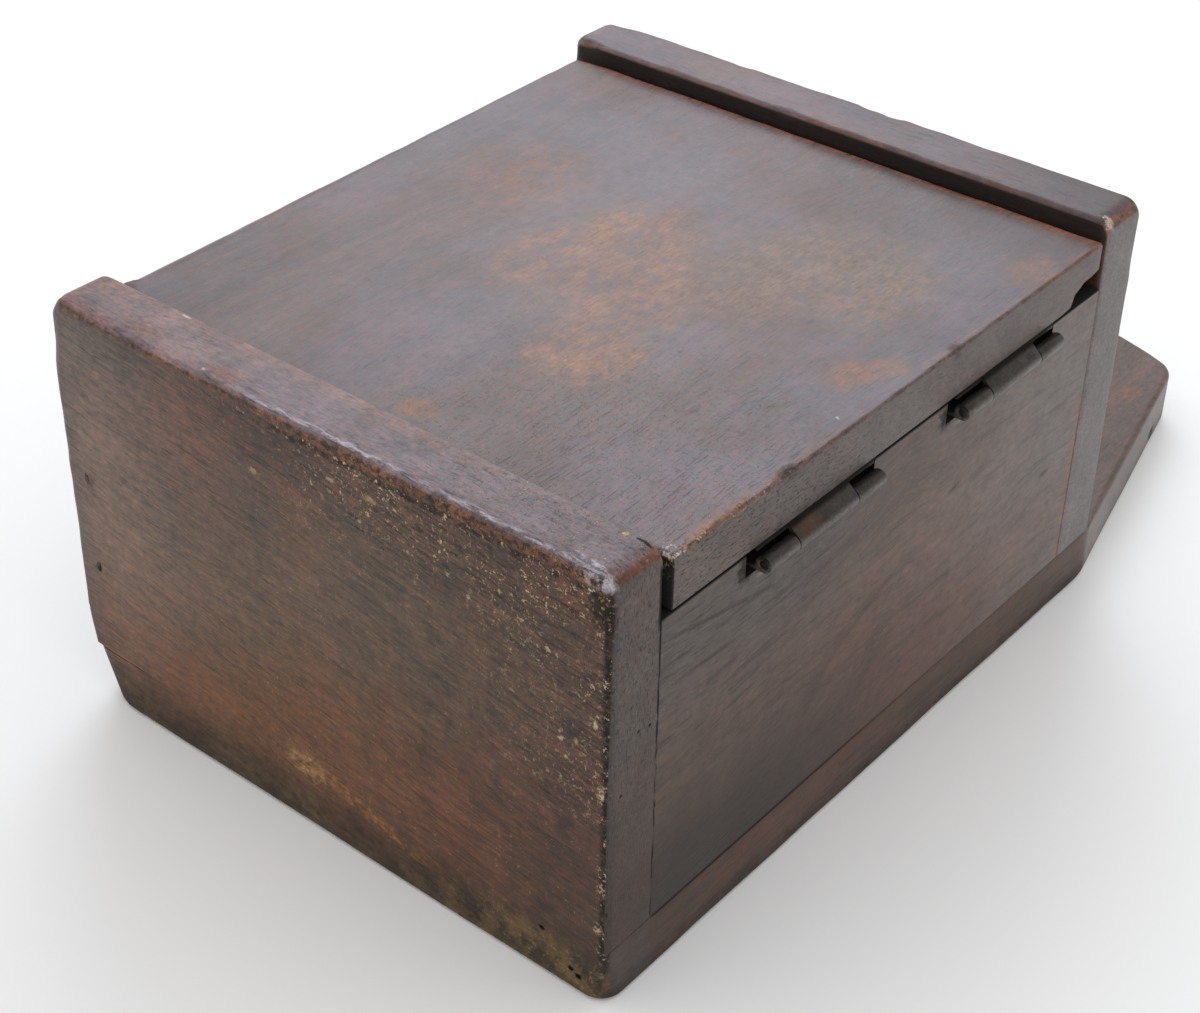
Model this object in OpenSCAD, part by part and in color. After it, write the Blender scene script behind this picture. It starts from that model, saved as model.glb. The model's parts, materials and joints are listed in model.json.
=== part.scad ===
// Wall-hung wooden letter box, lying on its back board.
// +X runs from the bottom board to the hanging tab, which points up when the box hangs on a wall.
// +Y runs from the hinge side to the catch side, and +Z from the back board out to the door.

/* [Case] */
// Height of the case, from the bottom board's outer face to the top board's
case_l = 183; // [165:1:240]
// Width of the case
case_w = 148; // [125:1:200]
// Depth of the case, from the wall to the front edges of the end boards
case_d = 103; // [90:1:140]
// Thickness of the back board
back_t = 14.5; // [10:0.5:20]
// Thickness of the bottom board
bottom_t = 13.5; // [10:0.5:18]
// Thickness of the top board
top_t = 15; // [10:0.5:18]
// Thickness of the two side boards
side_t = 13; // [12.5:0.5:18]
// Radius of the bottom board's front corner on the catch side
catch_corner_r = 4; // [2:0.5:12]
// Radius of the top board's front corner on the catch side
top_corner_r = 2.5; // [1:0.5:9]
// How far the top board runs past the case on the catch side
top_over = 2.5; // [0:0.5:4]
// Radius of the end boards' front corners on the hinge side
hinge_corner_r = 4; // [1:0.5:8]
// Radius of the back board's two bottom corners
back_corner_r = 6; // [1:0.5:12]

/* [Hanging tab] */
// Height of the tab's crest above the top board
tab_l = 92; // [70:1:120]
// Width across the tab's shoulders
tab_w = 109; // [60:1:120]
// Rise of the arched crest above the shoulders
tab_rise = 11; // [6:0.5:20]
// Radius of the tab's shoulders
tab_shoulder_r = 9; // [2:0.5:12]
// Diameter of the hanging hole
hang_hole_d = 8; // [4:0.5:14]
// Distance of the hanging hole below the crest
hang_hole_down = 24; // [16:1:40]

/* [Letter slot] */
// Distance of the slot's ends from the side boards' inner faces
slot_end_gap = 5; // [1:0.5:25]
// Width of the letter slot
slot_w = 12; // [6:0.5:20]
// Distance of the slot's middle from the back board's inner face
slot_out = 46; // [20:1:52]

/* [Door] */
// Thickness of the door
door_t = 11.5; // [9:0.5:16]
// How far the end boards stand proud of the door's face
door_set_back = 4; // [1:0.5:8]
// Gap between the door and the bottom board
door_bottom_gap = 3; // [0.5:0.25:5]
// Gap between the door and the top board
door_top_gap = 1.5; // [0.5:0.25:5]
// Gap between the door and the edges of the side boards
door_seat_gap = 0.5; // [0.3:0.1:1]

/* [Hinges] */
// Length of each hinge
hinge_l = 38; // [30:1:44]
// Length of the middle knuckle, which belongs to the door's leaf
middle_knuckle_l = 19; // [12:0.5:22]
// Width of a leaf, from the pin's axis to its inner edge
leaf_w = 12; // [9:0.5:12.5]
// Thickness of a leaf
leaf_t = 1.2; // [0.8:0.1:1.6]
// Outer diameter of the knuckles
knuckle_d = 3.6; // [3.2:0.1:4.4]
// Diameter of the hinge pins
pin_d = 1.8; // [1.2:0.1:2.2]
// Distance of the pin's axis outside the side board's face
pin_out = 1.5; // [1.2:0.1:2]
// Distance of the pin's axis behind the door's inner face
pin_drop = 3.7; // [3.2:0.1:4.5]
// Height of the lower hinge's middle above the bottom board's outer face
lower_hinge_at = 61; // [50:1:70]
// Distance of the upper hinge's middle below the top board's outer face
upper_hinge_down = 54; // [43:1:60]
// Spare length of each mortise below its hinge
mortise_spare = 3.5; // [0.5:0.5:6]
// Distance of each hinge screw from the leaf's end
hinge_screw_in = 8; // [5:0.5:12]
// Shank diameter of the hinge screws
hinge_screw_d = 2.2; // [1.6:0.1:3]
// Head diameter of the hinge screws
hinge_screw_head_d = 4.4; // [3.6:0.1:5.5]
// Length of the hinge screws
hinge_screw_l = 9; // [6:0.5:10]

/* [Catch] */
// Height of the catch above the bottom board's outer face
catch_at = 92; // [60:1:120]
// Distance from the hook's pivot to the stud
hook_reach = 22; // [16:0.5:28]
// Thickness of the hook
hook_t = 1.5; // [1:0.1:2.5]
// Width of the hook's bar
hook_w = 6; // [5:0.5:9]
// Length of the hook's nose past the stud
hook_nose = 5.5; // [4:0.5:8]
// Diameter of the hook's eye plate
hook_eye_d = 8.5; // [7:0.5:12]
// Shank diameter of the pivot screw
pivot_d = 3.2; // [2:0.1:4]
// Head diameter of the pivot screw
pivot_head_d = 6.4; // [5:0.1:8]
// Length of the pivot screw inside the side board
pivot_l = 10; // [6:0.5:11]
// Distance of the stud from the door's inner face
stud_up = 4; // [3:0.25:5]
// Shank diameter of the stud
stud_d = 2.2; // [1.6:0.1:2.6]
// Head diameter of the stud
stud_head_d = 4.4; // [3:0.1:5]
// Length of the stud inside the door
stud_l = 9; // [5:0.5:14]
// Thickness of the heads of the pivot screw and the stud
catch_head_t = 1.2; // [0.8:0.1:2]

/* [Nails] */
// Shank diameter of the nails
nail_d = 1.8; // [1.2:0.1:2.4]
// Head diameter of the nails
nail_head_d = 3.4; // [2.6:0.1:4.4]
// Length of the nails
nail_l = 30; // [24:1:36]
// Depth of the nail heads below the wood's surface
nail_sink = 0.4; // [0.2:0.1:1]
// Distance of the end boards' inner nails from the back face
end_nail_1 = 38; // [34:1:44]
// Distance of the end boards' outer nails from the back face
end_nail_2 = 61; // [52:1:64]
// Distance of the back board's nails from the case's outer faces
back_nail_in = 38; // [36:1:50]

/* [Hidden] */
$fn = 48;
fit = 0.05;           // radial room of a shank in its hole, and of a pin in its knuckle
run = 0.3;            // room between pieces that pass each other
past = 1;             // how far a cut runs past the surface it opens
arc_steps = 10;       // straight pieces in each rounded corner
crest_steps = 12;     // straight pieces in each half of the arched crest
edge_share = 0.45;    // most of an edge that one rounded corner may take
nail_head_t = 0.8;    // thickness of a nail's head
nail_tip = 3;         // length of a nail's point
screw_tip = 2.5;      // length of a screw's point
tip_d = 0.5;          // diameter at the end of a nail or screw
slit_w = 0.6;         // width of a screw's slot
slit_deep = 0.5;      // depth of a screw's slot
hook_lip = 1;         // width of the hook's bar past the notch's radius, on the notch's open side
crown_in = 0.9;       // how far a catch head's rim slopes in

// Levels above the back face
door_face_z = case_d - door_set_back;
door_under_z = door_face_z - door_t;
side_top_z = door_under_z - door_seat_gap;
pin_z = door_under_z - pin_drop;
mortise_z = pin_z - knuckle_d / 2;
slot_l = case_w - 2 * (side_t + slot_end_gap);
slot_z = back_t + slot_out;
stud_z = door_under_z + stud_up;
pivot_z = stud_z - hook_reach;

// Places along the height and the width
inside_l = case_l - bottom_t - top_t;
door_x = bottom_t + door_bottom_gap;
door_l = inside_l - door_bottom_gap - door_top_gap;
pin_y = -pin_out;
leaf_back_y = pin_y + leaf_w;
hinge_screw_y = leaf_back_y / 2;
upper_hinge_at = case_l - upper_hinge_down;
hang_hole_x = case_l + tab_l - hang_hole_down;
catch_reach = run + hook_t + run + catch_head_t;
hinge_reach = pin_out + knuckle_d / 2;

// The origin lies under the middle of the whole box
centre_x = (case_l + tab_l) / 2;
centre_y = (case_w + max(catch_reach, top_over) - hinge_reach) / 2;

wood = "#4d322a";
edge_wood = "#46322b";
iron = "#3b3734";
dark_iron = "#2e2a28";
brass = "#8f7138";

// Moves a piece from the case's own corner to the part's origin
module placed() translate([-centre_x, -centre_y, 0]) children();

// Points of an arc from one point to another around a centre, the short way round
function arc(centre, from, to, steps) =
    let (r = norm(from - centre),
         a = atan2(from.y - centre.y, from.x - centre.x),
         b = atan2(to.y - centre.y, to.x - centre.x),
         turn = (b - a + 540) % 360 - 180)
    [for (i = [0 : steps]) centre + r * [cos(a + turn * i / steps), sin(a + turn * i / steps)]];

function unit(v) = v / norm(v);
function flat(p) = [p.x, p.y];

// One corner [x, y, r] of an outline as the points of its rounding
function rounded_corner(before, at, after) =
    let (a = unit(flat(before) - flat(at)),
         b = unit(flat(after) - flat(at)),
         half = acos(a * b) / 2,
         room = edge_share * min(norm(flat(before) - flat(at)), norm(flat(after) - flat(at))),
         r = min(at.z, room * tan(half)))
    r <= 0 ? [flat(at)] : arc(flat(at) + unit(a + b) * r / sin(half),
        flat(at) + a * r / tan(half), flat(at) + b * r / tan(half), arc_steps);

// An outline of corners [x, y, r] with each corner rounded
function rounded(corners) =
    let (n = len(corners))
    [for (i = [0 : n - 1])
        each rounded_corner(corners[(i + n - 1) % n], corners[i], corners[(i + 1) % n])];

// A nail along +Z with the top of its head at the origin, or its hole when grown
module nail(grow = 0) {
    translate([0, 0, grow > 0 ? -nail_sink - past : 0])
        cylinder(d = nail_head_d + 2 * grow, h = nail_head_t + (grow > 0 ? nail_sink + past : 0));
    cylinder(d = nail_d + 2 * grow, h = nail_l - nail_tip);
    translate([0, 0, nail_l - nail_tip])
        cylinder(d1 = nail_d + 2 * grow, d2 = tip_d + 2 * grow, h = nail_tip + grow);
}

// A countersunk screw along +Z with its head's face at the origin, or its hole when grown
module hinge_screw(grow = 0) {
    sink = (hinge_screw_head_d - hinge_screw_d) / 2;
    difference() {
        union() {
            cylinder(d1 = hinge_screw_head_d + 2 * grow, d2 = hinge_screw_d + 2 * grow, h = sink);
            cylinder(d = hinge_screw_d + 2 * grow, h = hinge_screw_l - screw_tip);
            translate([0, 0, hinge_screw_l - screw_tip])
                cylinder(d1 = hinge_screw_d + 2 * grow, d2 = tip_d + 2 * grow,
                    h = screw_tip + grow);
        }
        if (grow == 0)
            translate([-slit_w / 2, -hinge_screw_head_d, -past])
                cube([slit_w, 2 * hinge_screw_head_d, past + slit_deep]);
    }
}

// Places of the nails and screws, shared by the pieces that they hold
module at_end_nails() {
    for (y = [side_t / 2, case_w - side_t / 2], z = [end_nail_1, end_nail_2])
        translate([0, y, z]) children();
}
module bottom_nails(grow = 0) {
    at_end_nails() translate([nail_sink, 0, 0]) rotate([0, 90, 0]) nail(grow);
}
module top_nails(grow = 0) {
    at_end_nails() translate([case_l - nail_sink, 0, 0]) rotate([0, -90, 0]) nail(grow);
}
module back_side_nails(grow = 0) {
    for (x = [bottom_t + back_nail_in, case_l - top_t - back_nail_in],
         y = [side_t / 2, case_w - side_t / 2])
        translate([x, y, nail_sink]) nail(grow);
}
module back_end_nails(grow = 0) {
    for (x = [bottom_t / 2, case_l - top_t / 2], y = [back_nail_in, case_w - back_nail_in])
        translate([x, y, nail_sink]) nail(grow);
}
module at_hinge_screws(at) {
    for (x = [at - hinge_l / 2 + hinge_screw_in, at + hinge_l / 2 - hinge_screw_in])
        translate([x, hinge_screw_y, 0]) children();
}
module case_screws(at, grow = 0) {
    at_hinge_screws(at) translate([0, 0, mortise_z + leaf_t]) rotate([180, 0, 0]) hinge_screw(grow);
}
module door_screws(at, grow = 0) {
    at_hinge_screws(at) translate([0, 0, door_under_z - leaf_t]) hinge_screw(grow);
}

// Half of the back board's outline, from its bottom edge to the crest, with y from the middle line.
// A shoulder's circle lies inside the crest's circle and touches both it and the tab's slanting side.
function half_back() =
    let (half_w = case_w / 2,
         crest = [case_l + tab_l, 0],
         crest_r = (pow(tab_w / 2, 2) + pow(tab_rise, 2)) / (2 * tab_rise),
         crest_centre = crest - [crest_r, 0],
         foot = [case_l, -half_w],
         along = unit([case_l + tab_l - tab_rise, -tab_w / 2] - foot),
         inward = [-along.y, along.x] * tab_shoulder_r,
         from_centre = foot + inward - crest_centre,
         up = -from_centre * along + sqrt(pow(from_centre * along, 2)
             - from_centre * from_centre + pow(crest_r - tab_shoulder_r, 2)),
         side_end = foot + along * up,
         shoulder = side_end + inward,
         crest_end = crest_centre + unit(shoulder - crest_centre) * crest_r,
         crest_arc = arc(crest_centre, crest_end, crest, crest_steps))
    concat(rounded_corner([0, half_w], [0, -half_w, back_corner_r], foot), [foot],
        arc(shoulder, side_end, crest_end, arc_steps), [for (i = [1 : crest_steps]) crest_arc[i]]);

// The back board, with the tab that the box hangs by
module back_board() color(edge_wood) placed() difference() {
    half = half_back();
    other_half = [for (i = [len(half) - 2 : -1 : 0]) [half[i].x, -half[i].y]];
    translate([0, case_w / 2, 0]) linear_extrude(back_t) polygon(concat(half, other_half));
    translate([hang_hole_x, case_w / 2, -past]) cylinder(d = hang_hole_d, h = back_t + 2 * past);
    back_side_nails(fit);
    back_end_nails(fit);
}

// An end board of width w, with its rounded front corners
module end_board(t, w, catch_r) {
    rotate([90, 0, 90]) linear_extrude(t) polygon(rounded([
        [0, back_t, 0], [w, back_t, 0], [w, case_d, catch_r], [0, case_d, hinge_corner_r]]));
}

// The bottom board
module bottom_board() color(wood) placed() difference() {
    end_board(bottom_t, case_w, catch_corner_r);
    bottom_nails(fit);
    back_end_nails(fit);
}

// The top board, with the letter slot
module top_board() color(wood) placed() difference() {
    translate([case_l - top_t, 0, 0]) end_board(top_t, case_w + top_over, top_corner_r);
    translate([case_l - top_t - past, case_w / 2, slot_z]) rotate([0, 90, 0]) {
        for (side = [-1, 1])
            translate([0, side * (slot_l - slot_w) / 2, 0])
                cylinder(d = slot_w, h = top_t + 2 * past);
        translate([-slot_w / 2, -(slot_l - slot_w) / 2, 0])
            cube([slot_w, slot_l - slot_w, top_t + 2 * past]);
    }
    top_nails(fit);
    back_end_nails(fit);
}

// A side board between the end boards, with its outer face at y = 0
module side_board() {
    translate([bottom_t, 0, back_t]) cube([inside_l, side_t, side_top_z - back_t]);
}

// The mortise that one hinge lies in, cut down from the side board's front edge
module mortise(at) {
    translate([at - hinge_l / 2 - mortise_spare, -past, mortise_z])
        cube([hinge_l + mortise_spare + run, leaf_back_y + run + past, side_top_z - mortise_z + past]);
}

// The side board that carries the hinges
module hinge_side() color(wood) placed() difference() {
    side_board();
    for (at = [lower_hinge_at, upper_hinge_at]) {
        mortise(at);
        case_screws(at, fit);
    }
    bottom_nails(fit);
    top_nails(fit);
    back_side_nails(fit);
}

// The side board that carries the hook
module catch_side() color(wood) placed() difference() {
    translate([0, case_w - side_t, 0]) side_board();
    bottom_nails(fit);
    top_nails(fit);
    back_side_nails(fit);
    pivot_screw(fit);
}

// The door, which fills the front between the end boards
module door() color(wood) placed() difference() {
    translate([door_x, 0, door_under_z]) cube([door_l, case_w, door_t]);
    for (at = [lower_hinge_at, upper_hinge_at]) door_screws(at, fit);
    stud(fit);
}

// One knuckle around the pin's axis, from x to x + l, with its bore left to be cut
module knuckle(x, l) {
    translate([x, pin_y, pin_z]) rotate([0, 90, 0]) cylinder(d = knuckle_d, h = l);
}
module pin_bore(at) {
    translate([at - hinge_l / 2 - past, pin_y, pin_z]) rotate([0, 90, 0])
        cylinder(d = pin_d + 2 * fit, h = hinge_l + 2 * past);
}

// The leaf in the mortise, with the two outer knuckles
module case_leaf(at) color(iron) placed() {
    outer_l = (hinge_l - middle_knuckle_l) / 2 - run;
    difference() {
        union() {
            for (x = [at - hinge_l / 2, at + hinge_l / 2 - outer_l]) {
                knuckle(x, outer_l);
                translate([x, pin_y, mortise_z]) cube([outer_l, leaf_w, leaf_t]);
            }
            translate([at - hinge_l / 2, pin_y + knuckle_d / 2 + run, mortise_z])
                cube([hinge_l, leaf_w - knuckle_d / 2 - run, leaf_t]);
        }
        pin_bore(at);
        case_screws(at, fit);
    }
}

// The leaf under the door, whose middle knuckle is cranked down to the pin
module door_leaf(at) color(iron) placed() {
    r = knuckle_d / 2;
    overlap = leaf_t / 2;
    front = [0, door_under_z];
    reach = front - [pin_y, pin_z];
    bearing = atan2(reach.y, reach.x) + acos(r / norm(reach));
    difference() {
        union() {
            translate([at - hinge_l / 2, 0, door_under_z - leaf_t]) cube([hinge_l, leaf_back_y, leaf_t]);
            knuckle(at - middle_knuckle_l / 2, middle_knuckle_l);
            translate([at - middle_knuckle_l / 2, 0, 0]) rotate([90, 0, 90])
                linear_extrude(middle_knuckle_l) polygon([
                    [overlap, door_under_z], front,
                    [pin_y + r * cos(bearing), pin_z + r * sin(bearing)], [pin_y, pin_z],
                    [0, door_under_z - leaf_t], [overlap, door_under_z - leaf_t]]);
        }
        pin_bore(at);
        door_screws(at, fit);
    }
}

// The pin through all three knuckles
module hinge_pin(at) color(dark_iron) placed() {
    translate([at - hinge_l / 2, pin_y, pin_z]) rotate([0, 90, 0]) cylinder(d = pin_d, h = hinge_l);
}

module lower_hinge_case_leaf() case_leaf(lower_hinge_at);
module lower_hinge_door_leaf() door_leaf(lower_hinge_at);
module lower_hinge_pin() hinge_pin(lower_hinge_at);
module upper_hinge_case_leaf() case_leaf(upper_hinge_at);
module upper_hinge_door_leaf() door_leaf(upper_hinge_at);
module upper_hinge_pin() hinge_pin(upper_hinge_at);

module lower_hinge_case_screws() color(dark_iron) placed() case_screws(lower_hinge_at);
module lower_hinge_door_screws() color(dark_iron) placed() door_screws(lower_hinge_at);
module upper_hinge_case_screws() color(dark_iron) placed() case_screws(upper_hinge_at);
module upper_hinge_door_screws() color(dark_iron) placed() door_screws(upper_hinge_at);

module bottom_board_nails() color(dark_iron) placed() bottom_nails();
module top_board_nails() color(dark_iron) placed() top_nails();
module back_board_side_nails() color(dark_iron) placed() back_side_nails();
module back_board_end_nails() color(dark_iron) placed() back_end_nails();

// A headed shank out of the catch side's face, its centre line at height x and level z
module headed(d, head_d, inside) {
    face = run + hook_t + run;
    translate([0, case_w - inside, 0]) rotate([-90, 0, 0]) cylinder(d = d, h = inside + face);
    translate([0, case_w + face, 0]) rotate([-90, 0, 0]) {
        cylinder(d = head_d, h = catch_head_t / 2);
        translate([0, 0, catch_head_t / 2])
            cylinder(d1 = head_d, d2 = head_d - 2 * crown_in, h = catch_head_t / 2);
    }
}
module pivot_screw(grow = 0) {
    translate([catch_at, 0, pivot_z]) difference() {
        headed(pivot_d + 2 * grow, pivot_head_d, pivot_l + grow);
        translate([-pivot_head_d, case_w + catch_reach - slit_deep, -slit_w / 2])
            cube([2 * pivot_head_d, past + slit_deep, slit_w]);
    }
}
module stud(grow = 0) {
    translate([catch_at, 0, stud_z]) headed(stud_d + 2 * grow, stud_head_d, stud_l + grow);
}

// The flat hook, hanging from its pivot towards the back, with its notch on the upper side.
// The notch follows the stud's path around the pivot.
module catch_hook() color(brass) placed() {
    notch_r = stud_d / 2 + run;
    bar_up = notch_r + hook_lip;
    bar_l = hook_reach + notch_r + hook_nose;
    bend_r = hook_w / 2;
    translate([catch_at, case_w + run, pivot_z]) rotate([-90, 0, 0]) difference() {
        union() {
            cylinder(d = hook_eye_d, h = hook_t);
            translate([bar_up - hook_w, 0, 0]) cube([hook_w, bar_l - bend_r, hook_t]);
            translate([bar_up - bend_r, bar_l - bend_r, 0]) cylinder(r = bend_r, h = hook_t);
        }
        translate([0, 0, -past]) {
            cylinder(d = pivot_d + 2 * fit, h = hook_t + 2 * past);
            translate([0, hook_reach, 0]) cylinder(r = notch_r, h = hook_t + 2 * past);
            intersection() {
                difference() {
                    cylinder(r = hook_reach + notch_r, h = hook_t + 2 * past);
                    translate([0, 0, -past])
                        cylinder(r = hook_reach - notch_r, h = hook_t + 4 * past);
                }
                translate([0, 0, -past]) cube([hook_reach, 2 * hook_reach, hook_t + 4 * past]);
            }
        }
    }
}

module catch_pivot_screw() color(brass) placed() pivot_screw();
module catch_stud() color(brass) placed() stud();

back_board();
bottom_board();
top_board();
hinge_side();
catch_side();
door();
lower_hinge_case_leaf();
lower_hinge_door_leaf();
lower_hinge_pin();
upper_hinge_case_leaf();
upper_hinge_door_leaf();
upper_hinge_pin();
lower_hinge_case_screws();
lower_hinge_door_screws();
upper_hinge_case_screws();
upper_hinge_door_screws();
bottom_board_nails();
top_board_nails();
back_board_side_nails();
back_board_end_nails();
catch_hook();
catch_pivot_screw();
catch_stud();
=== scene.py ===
"""The looks of an old wall letter box of dark stained wood, lying on its back board."""

import json
import math

import bmesh
import bpy
import numpy as np
from mathutils import Matrix, Vector


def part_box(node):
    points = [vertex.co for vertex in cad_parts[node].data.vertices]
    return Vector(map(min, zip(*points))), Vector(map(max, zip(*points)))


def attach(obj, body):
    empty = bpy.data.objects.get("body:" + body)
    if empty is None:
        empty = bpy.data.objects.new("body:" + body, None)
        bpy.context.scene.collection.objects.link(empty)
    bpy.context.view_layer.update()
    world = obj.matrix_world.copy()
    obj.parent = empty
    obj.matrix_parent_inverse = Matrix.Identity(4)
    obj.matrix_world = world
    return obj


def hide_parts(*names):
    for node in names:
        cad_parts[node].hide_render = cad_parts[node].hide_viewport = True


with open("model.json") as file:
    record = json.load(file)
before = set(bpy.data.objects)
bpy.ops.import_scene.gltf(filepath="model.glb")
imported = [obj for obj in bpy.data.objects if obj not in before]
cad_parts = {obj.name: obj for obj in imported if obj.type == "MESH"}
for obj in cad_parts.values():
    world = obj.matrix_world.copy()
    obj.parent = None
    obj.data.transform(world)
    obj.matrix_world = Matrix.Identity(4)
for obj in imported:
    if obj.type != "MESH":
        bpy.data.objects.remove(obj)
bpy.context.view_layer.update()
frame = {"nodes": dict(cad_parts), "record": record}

MM = 0.001
# The case's own corner: bottom board, hinge side, back. Places below are millimetres from it.
CORNER = np.array(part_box("back_board")[0]) / MM

# Camera, as the photograph was taken
CAMERA_AT = Vector((-0.3692, -0.2581, 0.3262))
CAMERA_BEARING = math.radians(51.05)     # from +Y towards +X
CAMERA_DOWN = math.radians(35.06)
CAMERA_ROLL = math.radians(0.99)
CAMERA_LENS = 66.94                      # millimetres, as is the sensor
CAMERA_SENSOR_W = 36.0
CAMERA_NEAREST = 0.01


def add_object(name, data):
    """Puts a mesh, lamp or camera in the scene."""
    made = bpy.data.objects.new(name, data)
    bpy.context.scene.collection.objects.link(made)
    return made


def set_camera():
    data = bpy.data.cameras.new("camera")
    data.lens = CAMERA_LENS
    data.sensor_width = CAMERA_SENSOR_W
    data.clip_start = CAMERA_NEAREST
    camera = add_object("camera", data)
    turn = (Matrix.Rotation(-CAMERA_BEARING, 4, "Z")
            @ Matrix.Rotation(math.pi / 2 - CAMERA_DOWN, 4, "X")
            @ Matrix.Rotation(CAMERA_ROLL, 4, "Z"))
    camera.matrix_world = Matrix.Translation(CAMERA_AT) @ turn
    bpy.context.scene.camera = camera


set_camera()


# Sizes of the boards, in millimetres from the case's corner

def box_mm(node):
    """A node's lowest and highest corner, in millimetres from the case's corner."""
    low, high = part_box(node)
    return np.array(low) / MM - CORNER, np.array(high) / MM - CORNER


BACK_HIGH = box_mm("back_board")[1]
BOTTOM_LOW, BOTTOM_HIGH = box_mm("bottom_board")
TOP_LOW, TOP_HIGH = box_mm("top_board")
HINGE_LOW, HINGE_HIGH = box_mm("hinge_side")
CATCH_LOW, CATCH_HIGH = box_mm("catch_side")
DOOR_LOW, DOOR_HIGH = box_mm("door")
CASE_L, CASE_W, CASE_D = TOP_HIGH[0], BACK_HIGH[1], TOP_HIGH[2]
BACK_T = BACK_HIGH[2]


# Mesh making

MERGE_WITHIN = 1e-7   # metres
SHARP_ANGLE = math.radians(35)
FACE_RIM = 0.5        # from an edge's rounding to the flat face's polygon


def wander(count, length, step, seed):
    """A smooth closed random line of that many values between -1 and 1, with a bend about every step."""
    knots = max(4, int(round(length / step)))
    heights = np.random.default_rng(seed).uniform(-1, 1, knots)
    where = np.linspace(0, knots, count, endpoint=False)
    first = where.astype(int)
    share = where - first
    share = share * share * (3 - 2 * share)
    return heights[first % knots] * (1 - share) + heights[(first + 1) % knots] * share


class Outline:
    """A convex outline of corners (x, y, radius), anticlockwise, that can be drawn inwards."""

    def __init__(self, corners, spacing=1.5, arc_points=8):
        points = np.array([c[:2] for c in corners], float)
        radii = np.array([c[2] for c in corners], float)
        sides = np.roll(points, -1, 0) - points
        sides /= np.linalg.norm(sides, axis=1)[:, None]
        inward = np.stack([-sides[:, 1], sides[:, 0]], 1)
        before = np.roll(inward, 1, 0)
        mitre = (before + inward) / (1 + (before * inward).sum(1))[:, None]
        rows = []
        for i in range(len(corners)):
            after = (i + 1) % len(corners)
            start = math.atan2(-before[i][1], -before[i][0])
            end = math.atan2(-inward[i][1], -inward[i][0])
            turn = (end - start) % (2 * math.pi)
            steps = arc_points if radii[i] > 0.05 else 1
            for k in range(steps + 1 if steps > 1 else 1):
                angle = start + turn * k / steps if steps > 1 else start + turn / 2
                rows.append((i, angle, i, angle, 0.0))
            run = np.linalg.norm(points[after] - points[i])
            parts = max(2, int(run / spacing))
            for k in range(1, parts):
                rows.append((i, end, after, end, k / parts))
        rows = np.array(rows)
        self.points, self.radii, self.mitre = points, radii, mitre
        self.first, self.last = rows[:, 0].astype(int), rows[:, 2].astype(int)
        self.first_angle, self.last_angle, self.share = rows[:, 1], rows[:, 3], rows[:, 4]
        self.count = len(rows)
        line = self.drawn_in(0.0)
        self.length = np.linalg.norm(np.roll(line, -1, 0) - line, axis=1).sum()

    def _corner(self, index, angle, depth):
        radius = self.radii[index]
        centre = self.points[index] + self.mitre[index] * np.maximum(radius, depth)[:, None]
        ray = np.stack([np.cos(angle), np.sin(angle)], 1)
        return centre + ray * np.maximum(radius - depth, 0)[:, None]

    def drawn_in(self, depth):
        """The outline's points, each moved inwards by its depth."""
        depth = np.broadcast_to(np.asarray(depth, float), (self.count,))
        a = self._corner(self.first, self.first_angle, depth)
        b = self._corner(self.last, self.last_angle, depth)
        return a + (b - a) * self.share[:, None]

    def worn(self, radius, ripple, seed, chips=(), step=5.0, least=0.15):
        """An edge's rounding at each point: a wandering radius, more at chips (x, y, reach, depth)."""
        line = self.drawn_in(0.0)
        rounding = radius * (1 + ripple * wander(self.count, self.length, step, seed))
        for x, y, reach, depth in chips:
            gap = np.hypot(line[:, 0] - x, line[:, 1] - y) / reach
            rounding = rounding + depth * np.exp(-gap ** 4)
        return np.maximum(rounding, least)


def rounded_board(name, outline, low, high, axes, low_round, high_round,
                  arc_rows=4, wall_rows=4, foot=None):
    """A board between two levels along its third axis, whose edges are rounded by those amounts.

    A foot is the outline that it turns into at its low level, with as many points.
    """
    thick = high - low
    levels = [(low_round + FACE_RIM, 0 * low_round)]
    for k in range(arc_rows + 1):
        a = math.pi / 2 * k / arc_rows
        levels.append((low_round * (1 - math.sin(a)), low_round * (1 - math.cos(a))))
    for k in range(1, wall_rows):
        wall = thick - low_round - high_round
        levels.append((0 * low_round, low_round + wall * k / wall_rows))
    for k in range(arc_rows + 1):
        a = math.pi / 2 * k / arc_rows
        levels.append((high_round * (1 - math.cos(a)), thick - high_round * (1 - math.sin(a))))
    levels.append((high_round + FACE_RIM, thick + 0 * high_round))
    rings = []
    for depth, level in levels:
        flat = outline.drawn_in(depth)
        if foot is not None:
            flat += (foot.drawn_in(depth) - flat) * (1 - level / thick)[:, None]
        solid = np.zeros((outline.count, 3))
        solid[:, axes[:2]] = flat
        solid[:, axes[2]] = low + level
        rings.append(solid)
    return tube(name, rings)


def tube(name, rings):
    """A closed piece of rings of points, each joined to the next, with both ends filled."""
    n = len(rings[0])
    faces = [(r * n + i, r * n + (i + 1) % n, (r + 1) * n + (i + 1) % n, (r + 1) * n + i)
             for r in range(len(rings) - 1) for i in range(n)]
    faces += [tuple(range(n - 1, -1, -1)), tuple(range((len(rings) - 1) * n, len(rings) * n))]
    return mesh_piece(name, np.concatenate(rings), faces)


def mesh_piece(name, points_mm, faces):
    """An object from points in millimetres from the case's corner."""
    mesh = bpy.data.meshes.new(name)
    mesh.from_pydata([tuple(p) for p in (np.asarray(points_mm) + CORNER) * MM], [], faces)
    made = bmesh.new()
    made.from_mesh(mesh)
    bmesh.ops.remove_doubles(made, verts=made.verts, dist=MERGE_WITHIN)
    bmesh.ops.recalc_face_normals(made, faces=made.faces)
    made.to_mesh(mesh)
    made.free()
    return add_object(name, mesh)


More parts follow.
